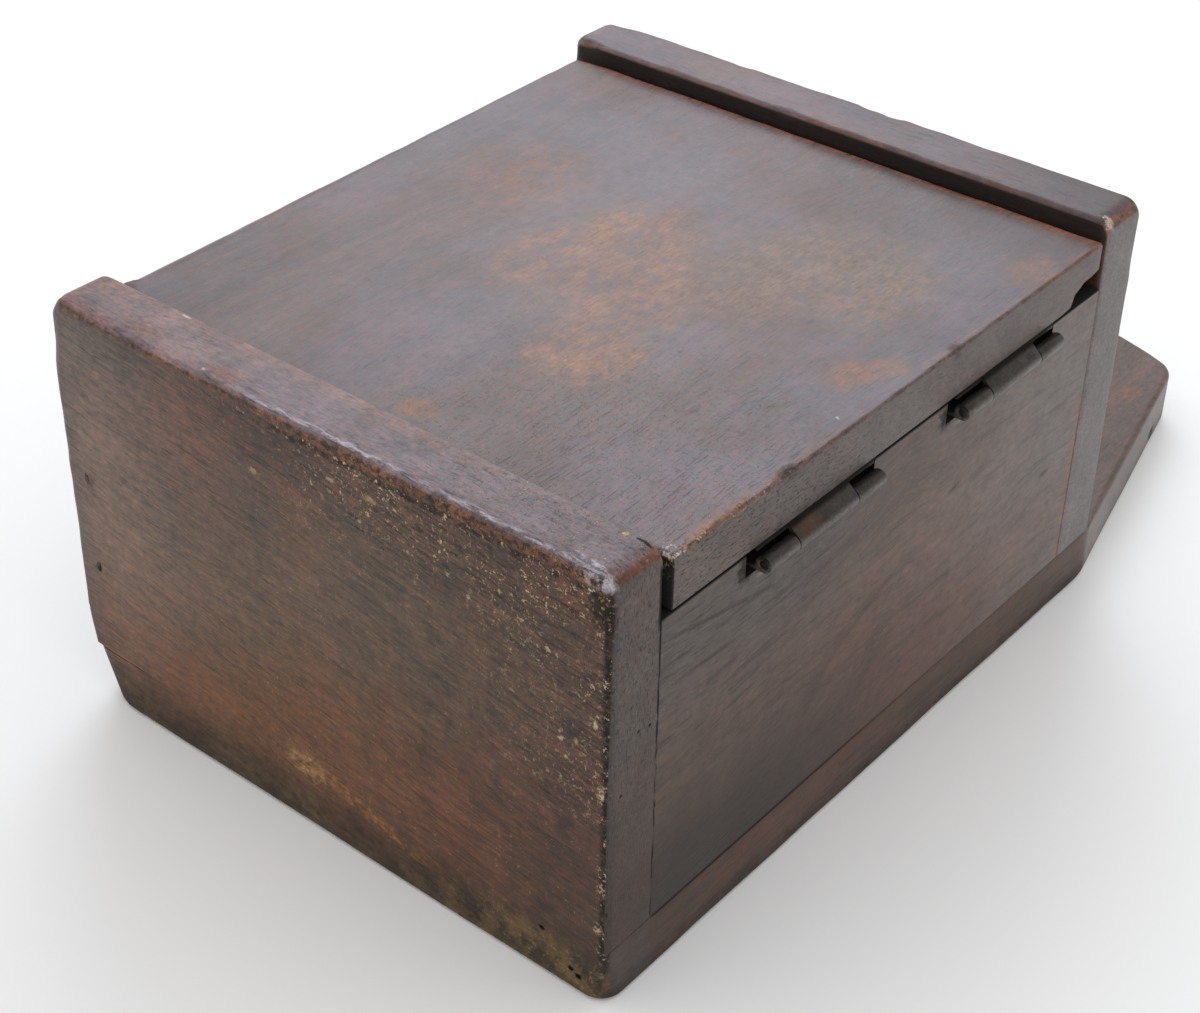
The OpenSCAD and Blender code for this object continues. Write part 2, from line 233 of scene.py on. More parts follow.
def settle(piece):
    """Applies a piece's modifiers."""
    bpy.context.view_layer.update()
    seen = piece.evaluated_get(bpy.context.evaluated_depsgraph_get())
    mesh = bpy.data.meshes.new_from_object(seen)
    piece.modifiers.clear()
    piece.data = mesh
    mesh.name = piece.name


def cut(piece, *cutters):
    """Takes the cutters' shapes out of a piece."""
    for cutter in cutters:
        made = piece.modifiers.new("cut", "BOOLEAN")
        made.operation = "DIFFERENCE"
        made.solver = "EXACT"
        made.object = cutter
        settle(piece)
        bpy.data.objects.remove(cutter)


def block(low, high):
    """A plain box to cut with."""
    corners = [(low[0], low[1]), (high[0], low[1]), (high[0], high[1]), (low[0], high[1])]
    return tube("cutter", [[corner + (z,) for corner in corners] for z in (low[2], high[2])])


def drill(start, end, radius, sides=32):
    """A round bar to cut with."""
    start, end = np.array(start, float), np.array(end, float)
    axis = (end - start) / np.linalg.norm(end - start)
    aside = np.cross(axis, (0, 0, 1) if abs(axis[2]) < 0.9 else (1, 0, 0))
    aside /= np.linalg.norm(aside)
    up = np.cross(axis, aside)
    turns = np.arange(sides) * 2 * math.pi / sides
    ring = np.outer(np.cos(turns), aside) + np.outer(np.sin(turns), up)
    return tube("cutter", [start + radius * ring, end + radius * ring])


def nibbles(places, seed):
    """Small ragged lumps to cut with: each place is a middle and its half sizes."""
    shake = np.random.default_rng(seed)
    ball = bmesh.new()
    bmesh.ops.create_icosphere(ball, subdivisions=2, radius=1.0)
    shape = np.array([v.co[:] for v in ball.verts])
    sides = [tuple(v.index for v in face.verts) for face in ball.faces]
    ball.free()
    points, faces = [], []
    for middle, half in places:
        lump = shape * shake.uniform(0.7, 1.2, (len(shape), 1)) * half + middle
        faces += [tuple(i + len(points) * len(shape) for i in side) for side in sides]
        points.append(lump)
    return mesh_piece("cutter", np.concatenate(points), faces)


def scattered(start, end, count, size, seed):
    """Places for nibbles along an edge, whose sizes vary about one size."""
    pick = np.random.default_rng(seed)
    start, end = np.array(start, float), np.array(end, float)
    along = np.abs(end - start) / np.linalg.norm(end - start)
    shares = (np.arange(count) + pick.uniform(0.1, 0.9, count)) / count
    return [(start + (end - start) * share,
             size * pick.uniform(0.5, 1.2) * (1 + along * pick.uniform(0.3, 2.2))) for share in shares]


# Shader making

def operator(operation, swapped=False):
    """A method that joins a field and another value by one operation."""
    def join(self, other):
        return self.math(operation, *((other, self) if swapped else (self, other)))
    return join


class Field:
    """A number or colour that varies over a surface, with arithmetic for the numbers."""

    def __init__(self, nodes, socket):
        self.nodes = nodes
        self.socket = socket

    def math(self, operation, *values):
        return self.nodes.node("Math", {"operation": operation}, dict(enumerate(values)))

    __add__ = __radd__ = operator("ADD")
    __sub__ = operator("SUBTRACT")
    __rsub__ = operator("SUBTRACT", swapped=True)
    __mul__ = __rmul__ = operator("MULTIPLY")
    __truediv__ = operator("DIVIDE")
    __pow__ = operator("POWER")
    least = operator("MINIMUM")
    most = operator("MAXIMUM")

    def __abs__(self):
        return self.math("ABSOLUTE", self)

    def rise(self, low, high):
        """0 up to low, 1 from high on, and smooth between; low may be above high."""
        return self.nodes.node("MapRange", {"interpolation_type": "SMOOTHSTEP"},
                               {"Value": self, "From Min": low, "From Max": high})


def paint(colour):
    """The light of a colour written as it looks on a screen; a field stays as it is."""
    if isinstance(colour, Field):
        return colour
    parts = [int(colour[i:i + 2], 16) / 255 for i in (0, 2, 4)]
    return tuple(p / 12.92 if p <= 0.04045 else ((p + 0.055) / 1.055) ** 2.4 for p in parts) + (1.0,)


class Nodes:
    """An empty node tree, to which every node is added by the one method here."""

    def __init__(self, tree):
        self.tree = tree
        tree.nodes.clear()

    def node(self, kind, settings=None, sockets=None, out=0):
        """Adds a node with its settings, then its sockets' values or links, and gives one output."""
        made = self.tree.nodes.new("ShaderNode" + kind)
        for key, value in (settings or {}).items():
            setattr(made, key, value)
        for key, value in (sockets or {}).items():
            if isinstance(value, Field):
                self.tree.links.new(value.socket, made.inputs[key])
            else:
                made.inputs[key].default_value = value
        return Field(self, made.outputs[out]) if made.outputs else None


class Finish(Nodes):
    """One material, built up in layers; done() joins them to the surface."""

    def __init__(self, name):
        self.material = bpy.data.materials.new(name)
        self.material.use_nodes = True
        super().__init__(self.material.node_tree)
        spot = self.node("TexCoord", out="Object")
        self.spot = self.node("VectorMath", {"operation": "MULTIPLY_ADD"},
                              {0: spot, 1: (1 / MM,) * 3, 2: tuple(-CORNER)})
        self.x, self.y, self.z = (self.node("SeparateXYZ", None, {0: self.spot}, out=i)
                                  for i in range(3))
        self.colour = self.rough = self.height = None
        self.metal = 0.0
        self.rags = {}

    def noise(self, vector, scale=1.0, detail=2.0, roughness=0.5):
        """Soft noise around 0.5; scale is in bends per millimetre of the vector."""
        return self.node("TexNoise", {"noise_dimensions": "3D"}, {
            "Vector": vector, "Scale": scale, "Detail": detail, "Roughness": roughness})

    def drawn(self, x, y, z, detail=2.0, roughness=0.5):
        """Noise drawn out along the axes whose coordinates are given small."""
        return self.noise(self.node("CombineXYZ", None, {0: x, 1: y, 2: z}), 1.0, detail, roughness)

    def flecks(self, scale, seed, cut):
        """Small ragged grains; scale is about how many stand in a millimetre, cut how few there are."""
        shifted = self.node("VectorMath", {"operation": "ADD"}, {0: self.spot, 1: (seed,) * 3})
        return self.noise(shifted, scale, 3.0, 0.75).rise(cut, cut + 0.05)

    def blend(self, share, a, b):
        return self.node("Mix", {"data_type": "RGBA"}, {0: share, 6: paint(a), 7: paint(b)}, 2)

    def blot(self, across, up, centre, size, turn=0.0, ragged=0.5, soft=0.25):
        """A ragged oval mark of that half size, turned anticlockwise by degrees."""
        grain = next((g for g in (0.06, 0.2, 0.7) if g * min(size) > 0.7), 1.2)
        if grain not in self.rags:
            self.rags[grain] = self.noise(self.spot, grain, 4.0, 0.65) - 0.5
        c, s = math.cos(math.radians(turn)), math.sin(math.radians(turn))
        du, dv = across - centre[0], up - centre[1]
        a = (du * c + dv * s) / size[0]
        b = (dv * c - du * s) / size[1]
        gap = (a * a + b * b) ** 0.5 + self.rags[grain] * (2.4 * ragged)
        return gap.rise(1 + soft, 1 - soft)

    def tint(self, share, colour, rough=None):
        """Lays a colour, and its roughness, over what is there."""
        self.colour = self.blend(share, self.colour, colour)
        if rough is not None:
            self.rough = self.rough + (rough - self.rough) * share

    def dent(self, share, depth):
        self.height = self.height - share * depth

    def spots(self, plane, places, share, colour, rough, ragged, soft, turn=0.0):
        """Lays ragged ovals of one colour, each a centre, a half size and perhaps its own turn."""
        for centre, size, *own in places:
            spot = self.blot(*plane, centre, size, own[0] if own else turn, ragged, soft)
            self.tint(spot * share, colour, rough)

    def ragged(self, field, reach):
        """A coordinate or distance shaken by up to about half that reach, in patches."""
        return field + (self.patch - 0.5) * reach

    def layers(self):
        """What has been laid so far, to be laid over other layers later."""
        return self.colour, self.rough, self.height

    def cover(self, share, layers):
        colour, rough, height = layers
        self.tint(share, colour, rough)
        self.height = self.height + (height - self.height) * share

    def done(self, **constants):
        """Joins the layers to the surface; constants are the shader's own settings."""
        sockets = {"Base Color": self.colour, "Roughness": self.rough, "Metallic": self.metal}
        sockets.update((key.replace("_", " "), value) for key, value in constants.items())
        if self.height is not None:
            sockets["Normal"] = self.node("Bump", None, {"Distance": MM, "Height": self.height})
        surface = self.node("BsdfPrincipled", None, sockets)
        self.node("OutputMaterial", None, {"Surface": surface})
        return self.material


# Wood: each board has its own grain, stain and wear, with painted sheen, highlights and shade

STAIN_DARK = "32211b"
STAIN_MID = "54382b"
STAIN_RED = "723f2a"
PORE = "1a1310"
PAINTED_BLUE_SHEEN = "686a7c"
GREY_DUST_AND_SHEEN = "4d4946"
PALE_FILM_AND_PAINTED_LIGHT = "6e6b68"
RUBBED_ORANGE = "8a4f2e"
RUBBED_BROWN = "8d5c38"
TAN = "957058"
GREEN_TAN = "7f6757"
DUST = "a08a6c"
GOLD_DUST = "8f7650"
CREAM_DUST = "b3a083"
PALE_DUST_AND_GLINT = "cfc7bd"
GLINT = "c4c0cc"
GRIME = "2b2119"
SOOT_AND_SHADE = "0f0b09"
DRY_WOOD = "6a4c3b"


def timber(f, along, across, through, seed, tilt=0.0, sway=10.0, red=0.5, depth=1.0):
    """Lays stained close-grained wood; along, across and through name the axes that its grain follows."""
    axes = {"x": f.x, "y": f.y, "z": f.z}
    u, v, w = axes[along], axes[across], axes[through] + seed
    v = v - u * tilt
    bend = f.drawn(u * 0.012 + seed, v * 0.022, w * 0.022, 2.0) - 0.5
    v = v + bend * sway
    f.along, f.across = u, v
    f.streak = f.drawn(u * 0.016, v * 0.15, w * 0.15, 5.0, 0.6)
    band = f.drawn(u * 0.03, v * 0.75, w * 0.75, 4.0, 0.62)
    f.fibre = f.drawn(u * 0.15, v * 2.2, w * 2.2, 2.0, 0.6)
    f.grit = f.drawn(u * 0.4, v * 1.2, w * 1.2, 4.0, 0.72)
    dash = f.drawn(u * 0.17, v * 2.4, w * 2.4, 1.5, 0.5)
    f.pores = dash.rise(0.56, 0.70) * (0.35 + f.streak.rise(0.62, 0.42) * 0.65)
    cloud = f.noise(f.spot, 0.021, 3.0, 0.55)
    f.haze = f.noise(f.spot, 0.04, 4.0, 0.6)
    f.worn = f.noise(f.spot, 0.06, 3.0, 0.6)
    f.patch = f.noise(f.spot, 0.16, 4.0, 0.65)
    f.fine = f.noise(f.spot, 0.5, 4.0, 0.7)
    f.colour = f.blend(f.streak.rise(0.30, 0.68) * depth + (0.62 - 0.62 * depth), STAIN_DARK, STAIN_MID)
    f.tint(band.rise(0.46, 0.66) * red, STAIN_RED)
    f.tint(cloud.rise(0.42, 0.64) * red * 0.9, STAIN_RED)
    f.tint(f.grit.rise(0.50, 0.70) * red, STAIN_RED)
    f.rough = 0.42 + (f.fibre - 0.5) * 0.10 + (f.haze - 0.5) * 0.18 + (f.grit - 0.5) * 0.30
    f.height = f.fibre * 0.018 + band * 0.02 + f.grit * 0.05


def pored(f, share):
    """Short dark pores along the grain."""
    f.tint(f.pores * share, PORE, 0.7)
    f.dent(f.pores * share, 0.09)


def sawn(f, where):
    """Bare wood inside the case: dry, with dark grain and the saw's fine lines across it."""
    f.tint(where * 0.6, DRY_WOOD, 0.7)
    f.tint(where * f.streak.rise(0.46, 0.62) * 0.55, STAIN_DARK)
    f.tint(where * f.fibre.rise(0.48, 0.62) * 0.35, STAIN_MID)
    f.tint(where * f.pores * 0.8, PORE, 0.75)
    saw = f.drawn(f.along * 0.8, f.across * 0.015, 0.0, 3.0, 0.6).rise(0.50, 0.64) * where
    f.tint(saw * 0.28, STAIN_DARK)
    f.dent(saw, 0.08)
    f.tint(where * f.haze.rise(0.48, 0.66) * 0.3, GREY_DUST_AND_SHEEN, 0.7)


def grained(f, depth):
    """Fine lighter and darker grain over all that was laid on a board."""
    shade = 1.0 + (f.grit - 0.5) * depth + (f.fibre - 0.5) * (0.5 * depth) + (f.fine - 0.5) * (0.6 * depth)
    shade = shade + (f.patch - 0.5) * (0.5 * depth) + (f.worn - 0.5) * (0.4 * depth)
    f.colour = f.node("VectorMath", {"operation": "SCALE"}, {0: f.colour, "Scale": shade})


def near(field, place, reach):
    """1 where a coordinate is within about that reach of a place."""
    return abs(field - place).rise(reach, reach * 0.35)


def corner_gap(a, b):
    """How far a point is from an edge, from its distances to the edge's two faces."""
    return (a * a + b * b) ** 0.5


def rubbed(f, gap, reach, share, colour):
    """Finish rubbed off within a reach of an edge, in patches."""
    f.tint(f.ragged(gap, 2.4 * reach).rise(reach, reach * 0.15) * share, colour, 0.45)


def dusted(f, where, scale, seed, share, colour, cut=0.64):
    """Grains of dust stuck on a region."""
    grain = f.flecks(scale, seed, cut) * where
    f.tint(grain * share, colour, 0.95)
    f.dent(grain, -0.10)


def face_streak(f):
    """Dark streaks a few millimetres wide, drawn out along the grain."""
    return f.drawn(f.along * 0.05, f.across * 0.35, 3.0, 4.0, 0.65).rise(0.50, 0.68)


# Marks are a centre and a half size, in millimetres on a face, and some a turn in degrees and a share
WARM_STAINS = (((63, 57), (15, 11), 20), ((82, 66), (20, 15), 30), ((102, 78), (14, 13), 0),
               ((85, 86), (15, 10), 0))
GREEN_STAINS = (((112, 44), (25, 15), -15), ((118, 26), (16, 10), 0))
TAN_STREAKS = (((55, 51), (9, 3.4), 125), ((63, 46.5), (7, 2.6), 10), ((51, 61), (4, 3), 80),
               ((97, 65), (9, 4), 30), ((103, 84), (10, 4), 10))
BROWN_SPOTS = (((22.5, 66), (3.2, 4.8), 12, 0.6), ((88, 9.5), (9.5, 4.2), -29, 0.6),
               ((146, 6), (7, 4), 12, 0.35))


def stained(f, places):
    """Where any of some stains lies on the door."""
    whole = None
    for centre, size, turn in places:
        stain = f.blot(f.x, f.y, centre, size, turn, 0.6, 0.5)
        whole = stain if whole is None else whole.most(stain)
    return whole


def door_wood():
    f = Finish("door_wood")
    timber(f, "x", "y", "z", seed=11.0, sway=9.0, red=0.34, depth=0.65)
    x, y, z = f.x, f.y, f.z
    drop = DOOR_HIGH[2] - z
    face = drop.rise(1.2, 0.5)
    handled = x.rise(95, 20) * y.rise(100, 20)
    pored(f, handled * 0.22 + 0.12)
    f.tint(handled * f.fibre.rise(0.50, 0.62) * 0.55, STAIN_RED)
    f.tint(face_streak(f) * 0.3, PORE)
    # A painted bluish sheen over the top face, in place of the sky's reflection
    blue_sheen = f.noise(f.spot, 0.028, 3.0, 0.6).rise(0.36, 0.64)
    f.tint(face * (0.10 + blue_sheen * 0.22), PAINTED_BLUE_SHEEN)
    f.tint(face * x.rise(120, 160) * y.rise(90, 20) * 0.42, STAIN_DARK)
    f.tint(face * f.worn.rise(0.50, 0.66) * 0.26, STAIN_DARK)
    # Old liquid marks: warm on the left, greener on the right, mottled all over
    mottle = f.noise(f.spot, 0.15, 5.0, 0.72)
    f.tint(f.blot(x, y, (90, 74), (36, 32), 20, 0.5, 0.9) * face * 0.3, "745a52")
    f.tint(stained(f, WARM_STAINS) * mottle.rise(0.34, 0.58) * face * 0.74, "88634f", 0.5)
    f.tint(stained(f, GREEN_STAINS) * mottle.rise(0.32, 0.52) * face * 0.68, GREEN_TAN, 0.55)
    f.spots((x, y), TAN_STREAKS, mottle.rise(0.36, 0.58) * face * 0.55, TAN, 0.55, 0.7, 0.7)
    crust = f.blot(x, y, (117, 21), (17, 3.2), 12, 0.8, 0.5)
    f.tint(crust * f.flecks(0.4, 4.0, 0.54) * face * 0.24, DUST, 0.7)
    upper = f.blot(x, y, (110, 116), (15, 12), 0, 0.6, 0.6)
    f.tint(upper * mottle.rise(0.36, 0.62) * face * 0.5, RUBBED_BROWN, 0.5)
    for centre, size, turn, share in BROWN_SPOTS:
        spot = f.blot(x, y, centre, size, turn, 0.5, 0.4)
        f.tint(spot * face * (mottle.rise(0.2, 0.6) * share), RUBBED_BROWN, 0.5)
    f.tint(f.blot(x, y, (160, 56), (3, 2.4), 0, 0.6, 0.6) * face * 0.3, GREEN_TAN, 0.6)
    # The hinge edge: warm towards both ends, dark here and there along its very corner
    gap = corner_gap(y, drop)
    warmth = x.rise(70, 34) * 0.6 + x.rise(128, 152) * 0.35 + 0.22
    warmth = warmth * (0.35 + f.fine.rise(0.42, 0.58) * 0.8)
    rubbed(f, y + drop.rise(0.5, 2.0) * 4, 2.8, warmth * face, "87512f")
    rubbed(f, DOOR_HIGH[0] - x, 5.0, face * y.rise(40, 8) * 0.4, RUBBED_BROWN)
    far = f.ragged(DOOR_HIGH[0] - x, 3).rise(3.0, 1.0) * face
    f.tint(far * (0.25 + f.fine.rise(0.40, 0.60) * 0.45), RUBBED_ORANGE, 0.5)
    f.tint(gap.rise(1.0, 0.4) * (0.12 + f.fine.rise(0.46, 0.60) * 0.6), "1c130f", 0.6)
    f.tint(gap.rise(2.2, 0.8) * x.rise(70, 30) * f.flecks(0.8, 13.0, 0.55) * 0.7, SOOT_AND_SHADE, 0.7)
    dusted(f, gap.rise(2.2, 0.6) * x.rise(70, 30), 1.2, 14.0, 0.8, CREAM_DUST, 0.58)
    dusted(f, f.blot(x, y, (18, 1.5), (2.2, 2.6), 0, 0.8, 0.6) * face, 1.2, 16.0, 0.8, PALE_DUST_AND_GLINT, 0.52)
    for at, size in ((51, 2.8), (108, 1.8)):
        crumb = f.blot(x, y, (at, 0.8), (size, 1.3), 0, 0.8, 0.5) * drop.rise(2.6, 1.6)
        f.tint(crumb * 0.45, GRIME, 0.9)
        f.tint(crumb * f.flecks(1.1, 6.0, 0.58) * x.rise(80, 60) * 0.6, GOLD_DUST, 0.95)
    # The hinge-side face: greyed by dust and a painted sheen, with short black pores
    edge = y.rise(0.6, 0.2) * drop.rise(0.3, 1.0)
    f.tint(edge * 0.72, GREY_DUST_AND_SHEEN)
    speck = f.drawn(x * 0.75, y, z * 2.8, 1.5).rise(0.58, 0.66)
    f.tint(edge * speck * x.rise(110, 40) * 0.75, PORE, 0.7)
    f.dent(edge * speck, 0.08)
    # The catch edge, darker where it rolls over
    f.tint(f.ragged(y, 4).rise(CASE_W - 7, CASE_W - 1) * drop.rise(0.3, 2.0) * 0.5, STAIN_DARK)
    # Painted shade, black, in the gap at the bottom end, in the broken corner and on the underside at the
    # joints
    inset = (x - DOOR_LOW[0]).rise(0.5, 0.15) * drop.rise(0.6, 1.6)
    f.tint(inset * (0.5 + y.rise(16, 4) * 0.5), SOOT_AND_SHADE, 0.9)
    dusted(f, inset * drop.rise(6, 2) * y.rise(4, 1), 0.9, 12.0, 0.8, GOLD_DUST, 0.55)
    broken = (x - 148).rise(0, 2) * y.rise(0.15, 0.4) * y.rise(16, 14) * drop.rise(1.5, 2.5)
    f.tint(broken * (z - DOOR_LOW[2]).rise(0.02, 0.1), SOOT_AND_SHADE, 0.9)
    f.tint((z - DOOR_LOW[2]).rise(0.25, 0.05) * 0.85, SOOT_AND_SHADE, 0.8)
    sawn(f, near(z, DOOR_LOW[2], 0.3) * y.rise(2, 6))
    dusted(f, f.haze.rise(0.50, 0.66) * face, 0.7, 3.0, 0.4, PALE_DUST_AND_GLINT, 0.70)
    dusted(f, handled * face, 1.3, 19.0, 0.28, PALE_DUST_AND_GLINT, 0.60)
    f.tint(f.blot(x, y, (71.7, 4), (0.45, 0.35), 30, 0.9, 0.4) * face * 0.6, PALE_DUST_AND_GLINT, 0.9)
    grained(f, 1.7)
    return f.done()


def near_grain(f):
    timber(f, "y", "z", "x", seed=37.0, tilt=0.13, sway=14.0, red=0.36, depth=0.75)


DUST_CRUMBS = (((1.3, 31.1), (0.9, 1.6)), ((2.0, 20.7), (1.0, 1.3)), ((3.7, 70), (1.0, 1.4)),
               ((1.6, 55), (0.8, 2.0)), ((1.4, 8.0), (1.0, 1.4)))
DUST_SPOTS = (((88.4, 86.5), (1.1, 0.8)), ((57, 94), (1.4, 0.7)), ((67, 94), (1.1, 0.6)),
              ((7.7, 64), (0.5, 0.7)), ((6.0, 62), (0.7, 0.3)), ((10.1, 59.2), (0.5, 0.5)))
NAIL_MARKS = (((8.5, 67), (2.2, 2.6)), ((10.3, 42.2), (2.2, 2.6)), ((140.2, 60.7), (0.9, 1.8)),
              ((142.0, 37.6), (0.9, 1.8)))
PALE_CLAY = (((80, 17.0), (5.5, 2.8), 0),)
BROWN_CLAY = (((68, 15.5), (8, 2.2), 14), ((55, 12.0), (7, 1.4), 16))
WORM_HOLES = (((6.6, 4.9), (0.9, 0.7)), ((8.5, 5.8), (0.7, 0.6)), ((15.9, 12.1), (0.7, 0.5)))


def near_face(f, where):
    """The worn face at the bottom end, which runs on from the bottom board over the back board's end."""
    x, y, z = f.x, f.y, f.z
    drop = CASE_D - z
    pored(f, where * 0.5 + 0.06)
    # Browner in the lower middle, greyer at the catch side, dark under the outer front edge
    f.tint(f.blot(y, z, (100, 30), (60, 24), 0, 0.4, 0.8) * where * 0.5, "69451f")
    # Greyer and lighter towards the catch side: dust and painted light
    f.tint(y.rise(84, 146) * z.rise(20, 60) * where * 0.5, "73695f")
    f.tint(f.blot(y, z, (66, 66), (54, 24), -12, 0.6, 0.8) * where * 0.45, "57503f")
    f.tint(f.blot(y, z, (134, 50), (13, 24), 0, 0.5, 0.9) * where * 0.3, "866654")
    f.tint(f.ragged(drop, 14).rise(13.0, 1.0) * where * 0.2, GRIME, 0.5)
    # Darker at the hinge side towards the foot: painted shade
    f.tint(y.rise(52, 8) * z.rise(64, 10) * where * 0.62, "352919")
    f.tint(f.ragged(y, 5).rise(CASE_W - 7, CASE_W - 2) * where * 0.36, "3c3e44")
    # Dust and open pores towards the front edge and the hinge side
    high = (drop.rise(34, 4) * y.rise(112, 40)).most(y.rise(40, 4) * z.rise(26, 76) * 0.85) * where
    ripple = f.drawn(y * 0.06, f.across * 0.9, x * 0.9, 3.0, 0.65)
    f.tint(ripple.rise(0.50, 0.66) * where * (0.25 + high * 0.18), PORE, 0.6)
    f.tint(f.drawn(y * 0.3, f.across * 1.6, x, 2.0).rise(0.53, 0.62) * high * 0.65, SOOT_AND_SHADE, 0.7)
    dusted(f, high * (0.35 + f.worn.rise(0.44, 0.58) * 0.65), 1.0, 21.0, 0.95, DUST, 0.575)
    dusted(f, high * f.worn.rise(0.38, 0.52), 0.6, 33.0, 0.95, CREAM_DUST, 0.60)
    dusted(f, where * y.rise(125, 80) * f.fine.rise(0.40, 0.60), 1.0, 41.0, 0.7, DUST, 0.62)
    # The corner post towards the hinge side: black, crusted with gold
    post = corner_gap(x, y)
    f.tint(post.rise(2.4, 1.0) * (0.5 + f.fine.rise(0.42, 0.56) * 0.5), SOOT_AND_SHADE, 0.8)
    dusted(f, post.rise(3.4, 1.2) * where * f.worn.rise(0.36, 0.50), 0.9, 5.0, 0.95, CREAM_DUST, 0.59)
    for centre, size in DUST_CRUMBS:
        crumb = f.blot(y, z, centre, size, 0, 1.0, 0.5) * where
        f.tint(crumb * f.flecks(1.2, 9.0, 0.48) * 0.75, CREAM_DUST, 0.95)
        f.dent(crumb, -0.2)
    clump = f.blot(y, z, (2.0, 97), (3.0, 5.0), 0, 0.7, 0.5) * where
    f.tint(clump * 0.85, "17110c", 0.9)
    dusted(f, clump, 1.2, 7.0, 0.85, "937a52", 0.56)
    for centre, size in DUST_SPOTS:
        spot = f.blot(y, z, centre, size, 0, 1.0, 0.5)
        f.tint(spot * where * 0.65, "a58f6e", 0.95)
        f.dent(spot * where, -0.3)
    # Filled nail holes by the hinge side; shallow dents over the nails by the catch side, painted dark as
    # shade
    f.spots((y, z), NAIL_MARKS, where * 0.5, "1b191b", 0.6, 0.8, 0.7, turn=30)
    # Darker to the foot, dried clay, a yellow crust by the hinge side, and worm holes painted black as
    # shade
    f.tint(f.blot(y, z, (104, 20), (26, 9), 0, 0.9, 0.9) * where * 0.32, "74441c")
    f.tint(f.ragged(z, 16).rise(19.0, 2.0) * where * 0.8, "2c2519", 0.75)
    ragged = f.noise(f.spot, 0.4, 4.0, 0.7).rise(0.40, 0.58)
    f.tint(f.worn.rise(0.42, 0.56) * ragged * z.rise(17, 6) * where * 0.5, "554833", 0.85)
    for places, clay in ((PALE_CLAY, "a08055"), (BROWN_CLAY, "8f6236")):
        f.spots((y, z), places, ragged * where * 0.72, clay, 0.85, 1.2, 0.7)
    crust = z.rise(15, 7) * y.rise(60, 14) * where
    f.tint(crust * f.patch.rise(0.42, 0.60) * 0.5, "6c5632", 0.85)
    dusted(f, crust * f.fine.rise(0.40, 0.60), 0.9, 8.0, 0.6, GOLD_DUST, 0.56)
    f.spots((y, z), WORM_HOLES, where, SOOT_AND_SHADE, 0.9, 0.9, 0.4, turn=20)


def end_grain(f, share, dust_and_sheen):
    """The ends of a board, greyed by dust and a painted sheen; gives where its end at the hinge side is."""
    end = f.y.rise(0.5, 0.2)
    ply = f.drawn(f.x * 1.8, f.z * 0.14, f.y, 3.0, 0.6)
    f.tint(end * (share + ply.rise(0.3, 0.7) * 0.2), dust_and_sheen, 0.48)
    f.tint(f.y.rise(CASE_W - 0.9, CASE_W - 0.3) * (0.3 + ply.rise(0.3, 0.7) * 0.3), dust_and_sheen, 0.48)
    return end


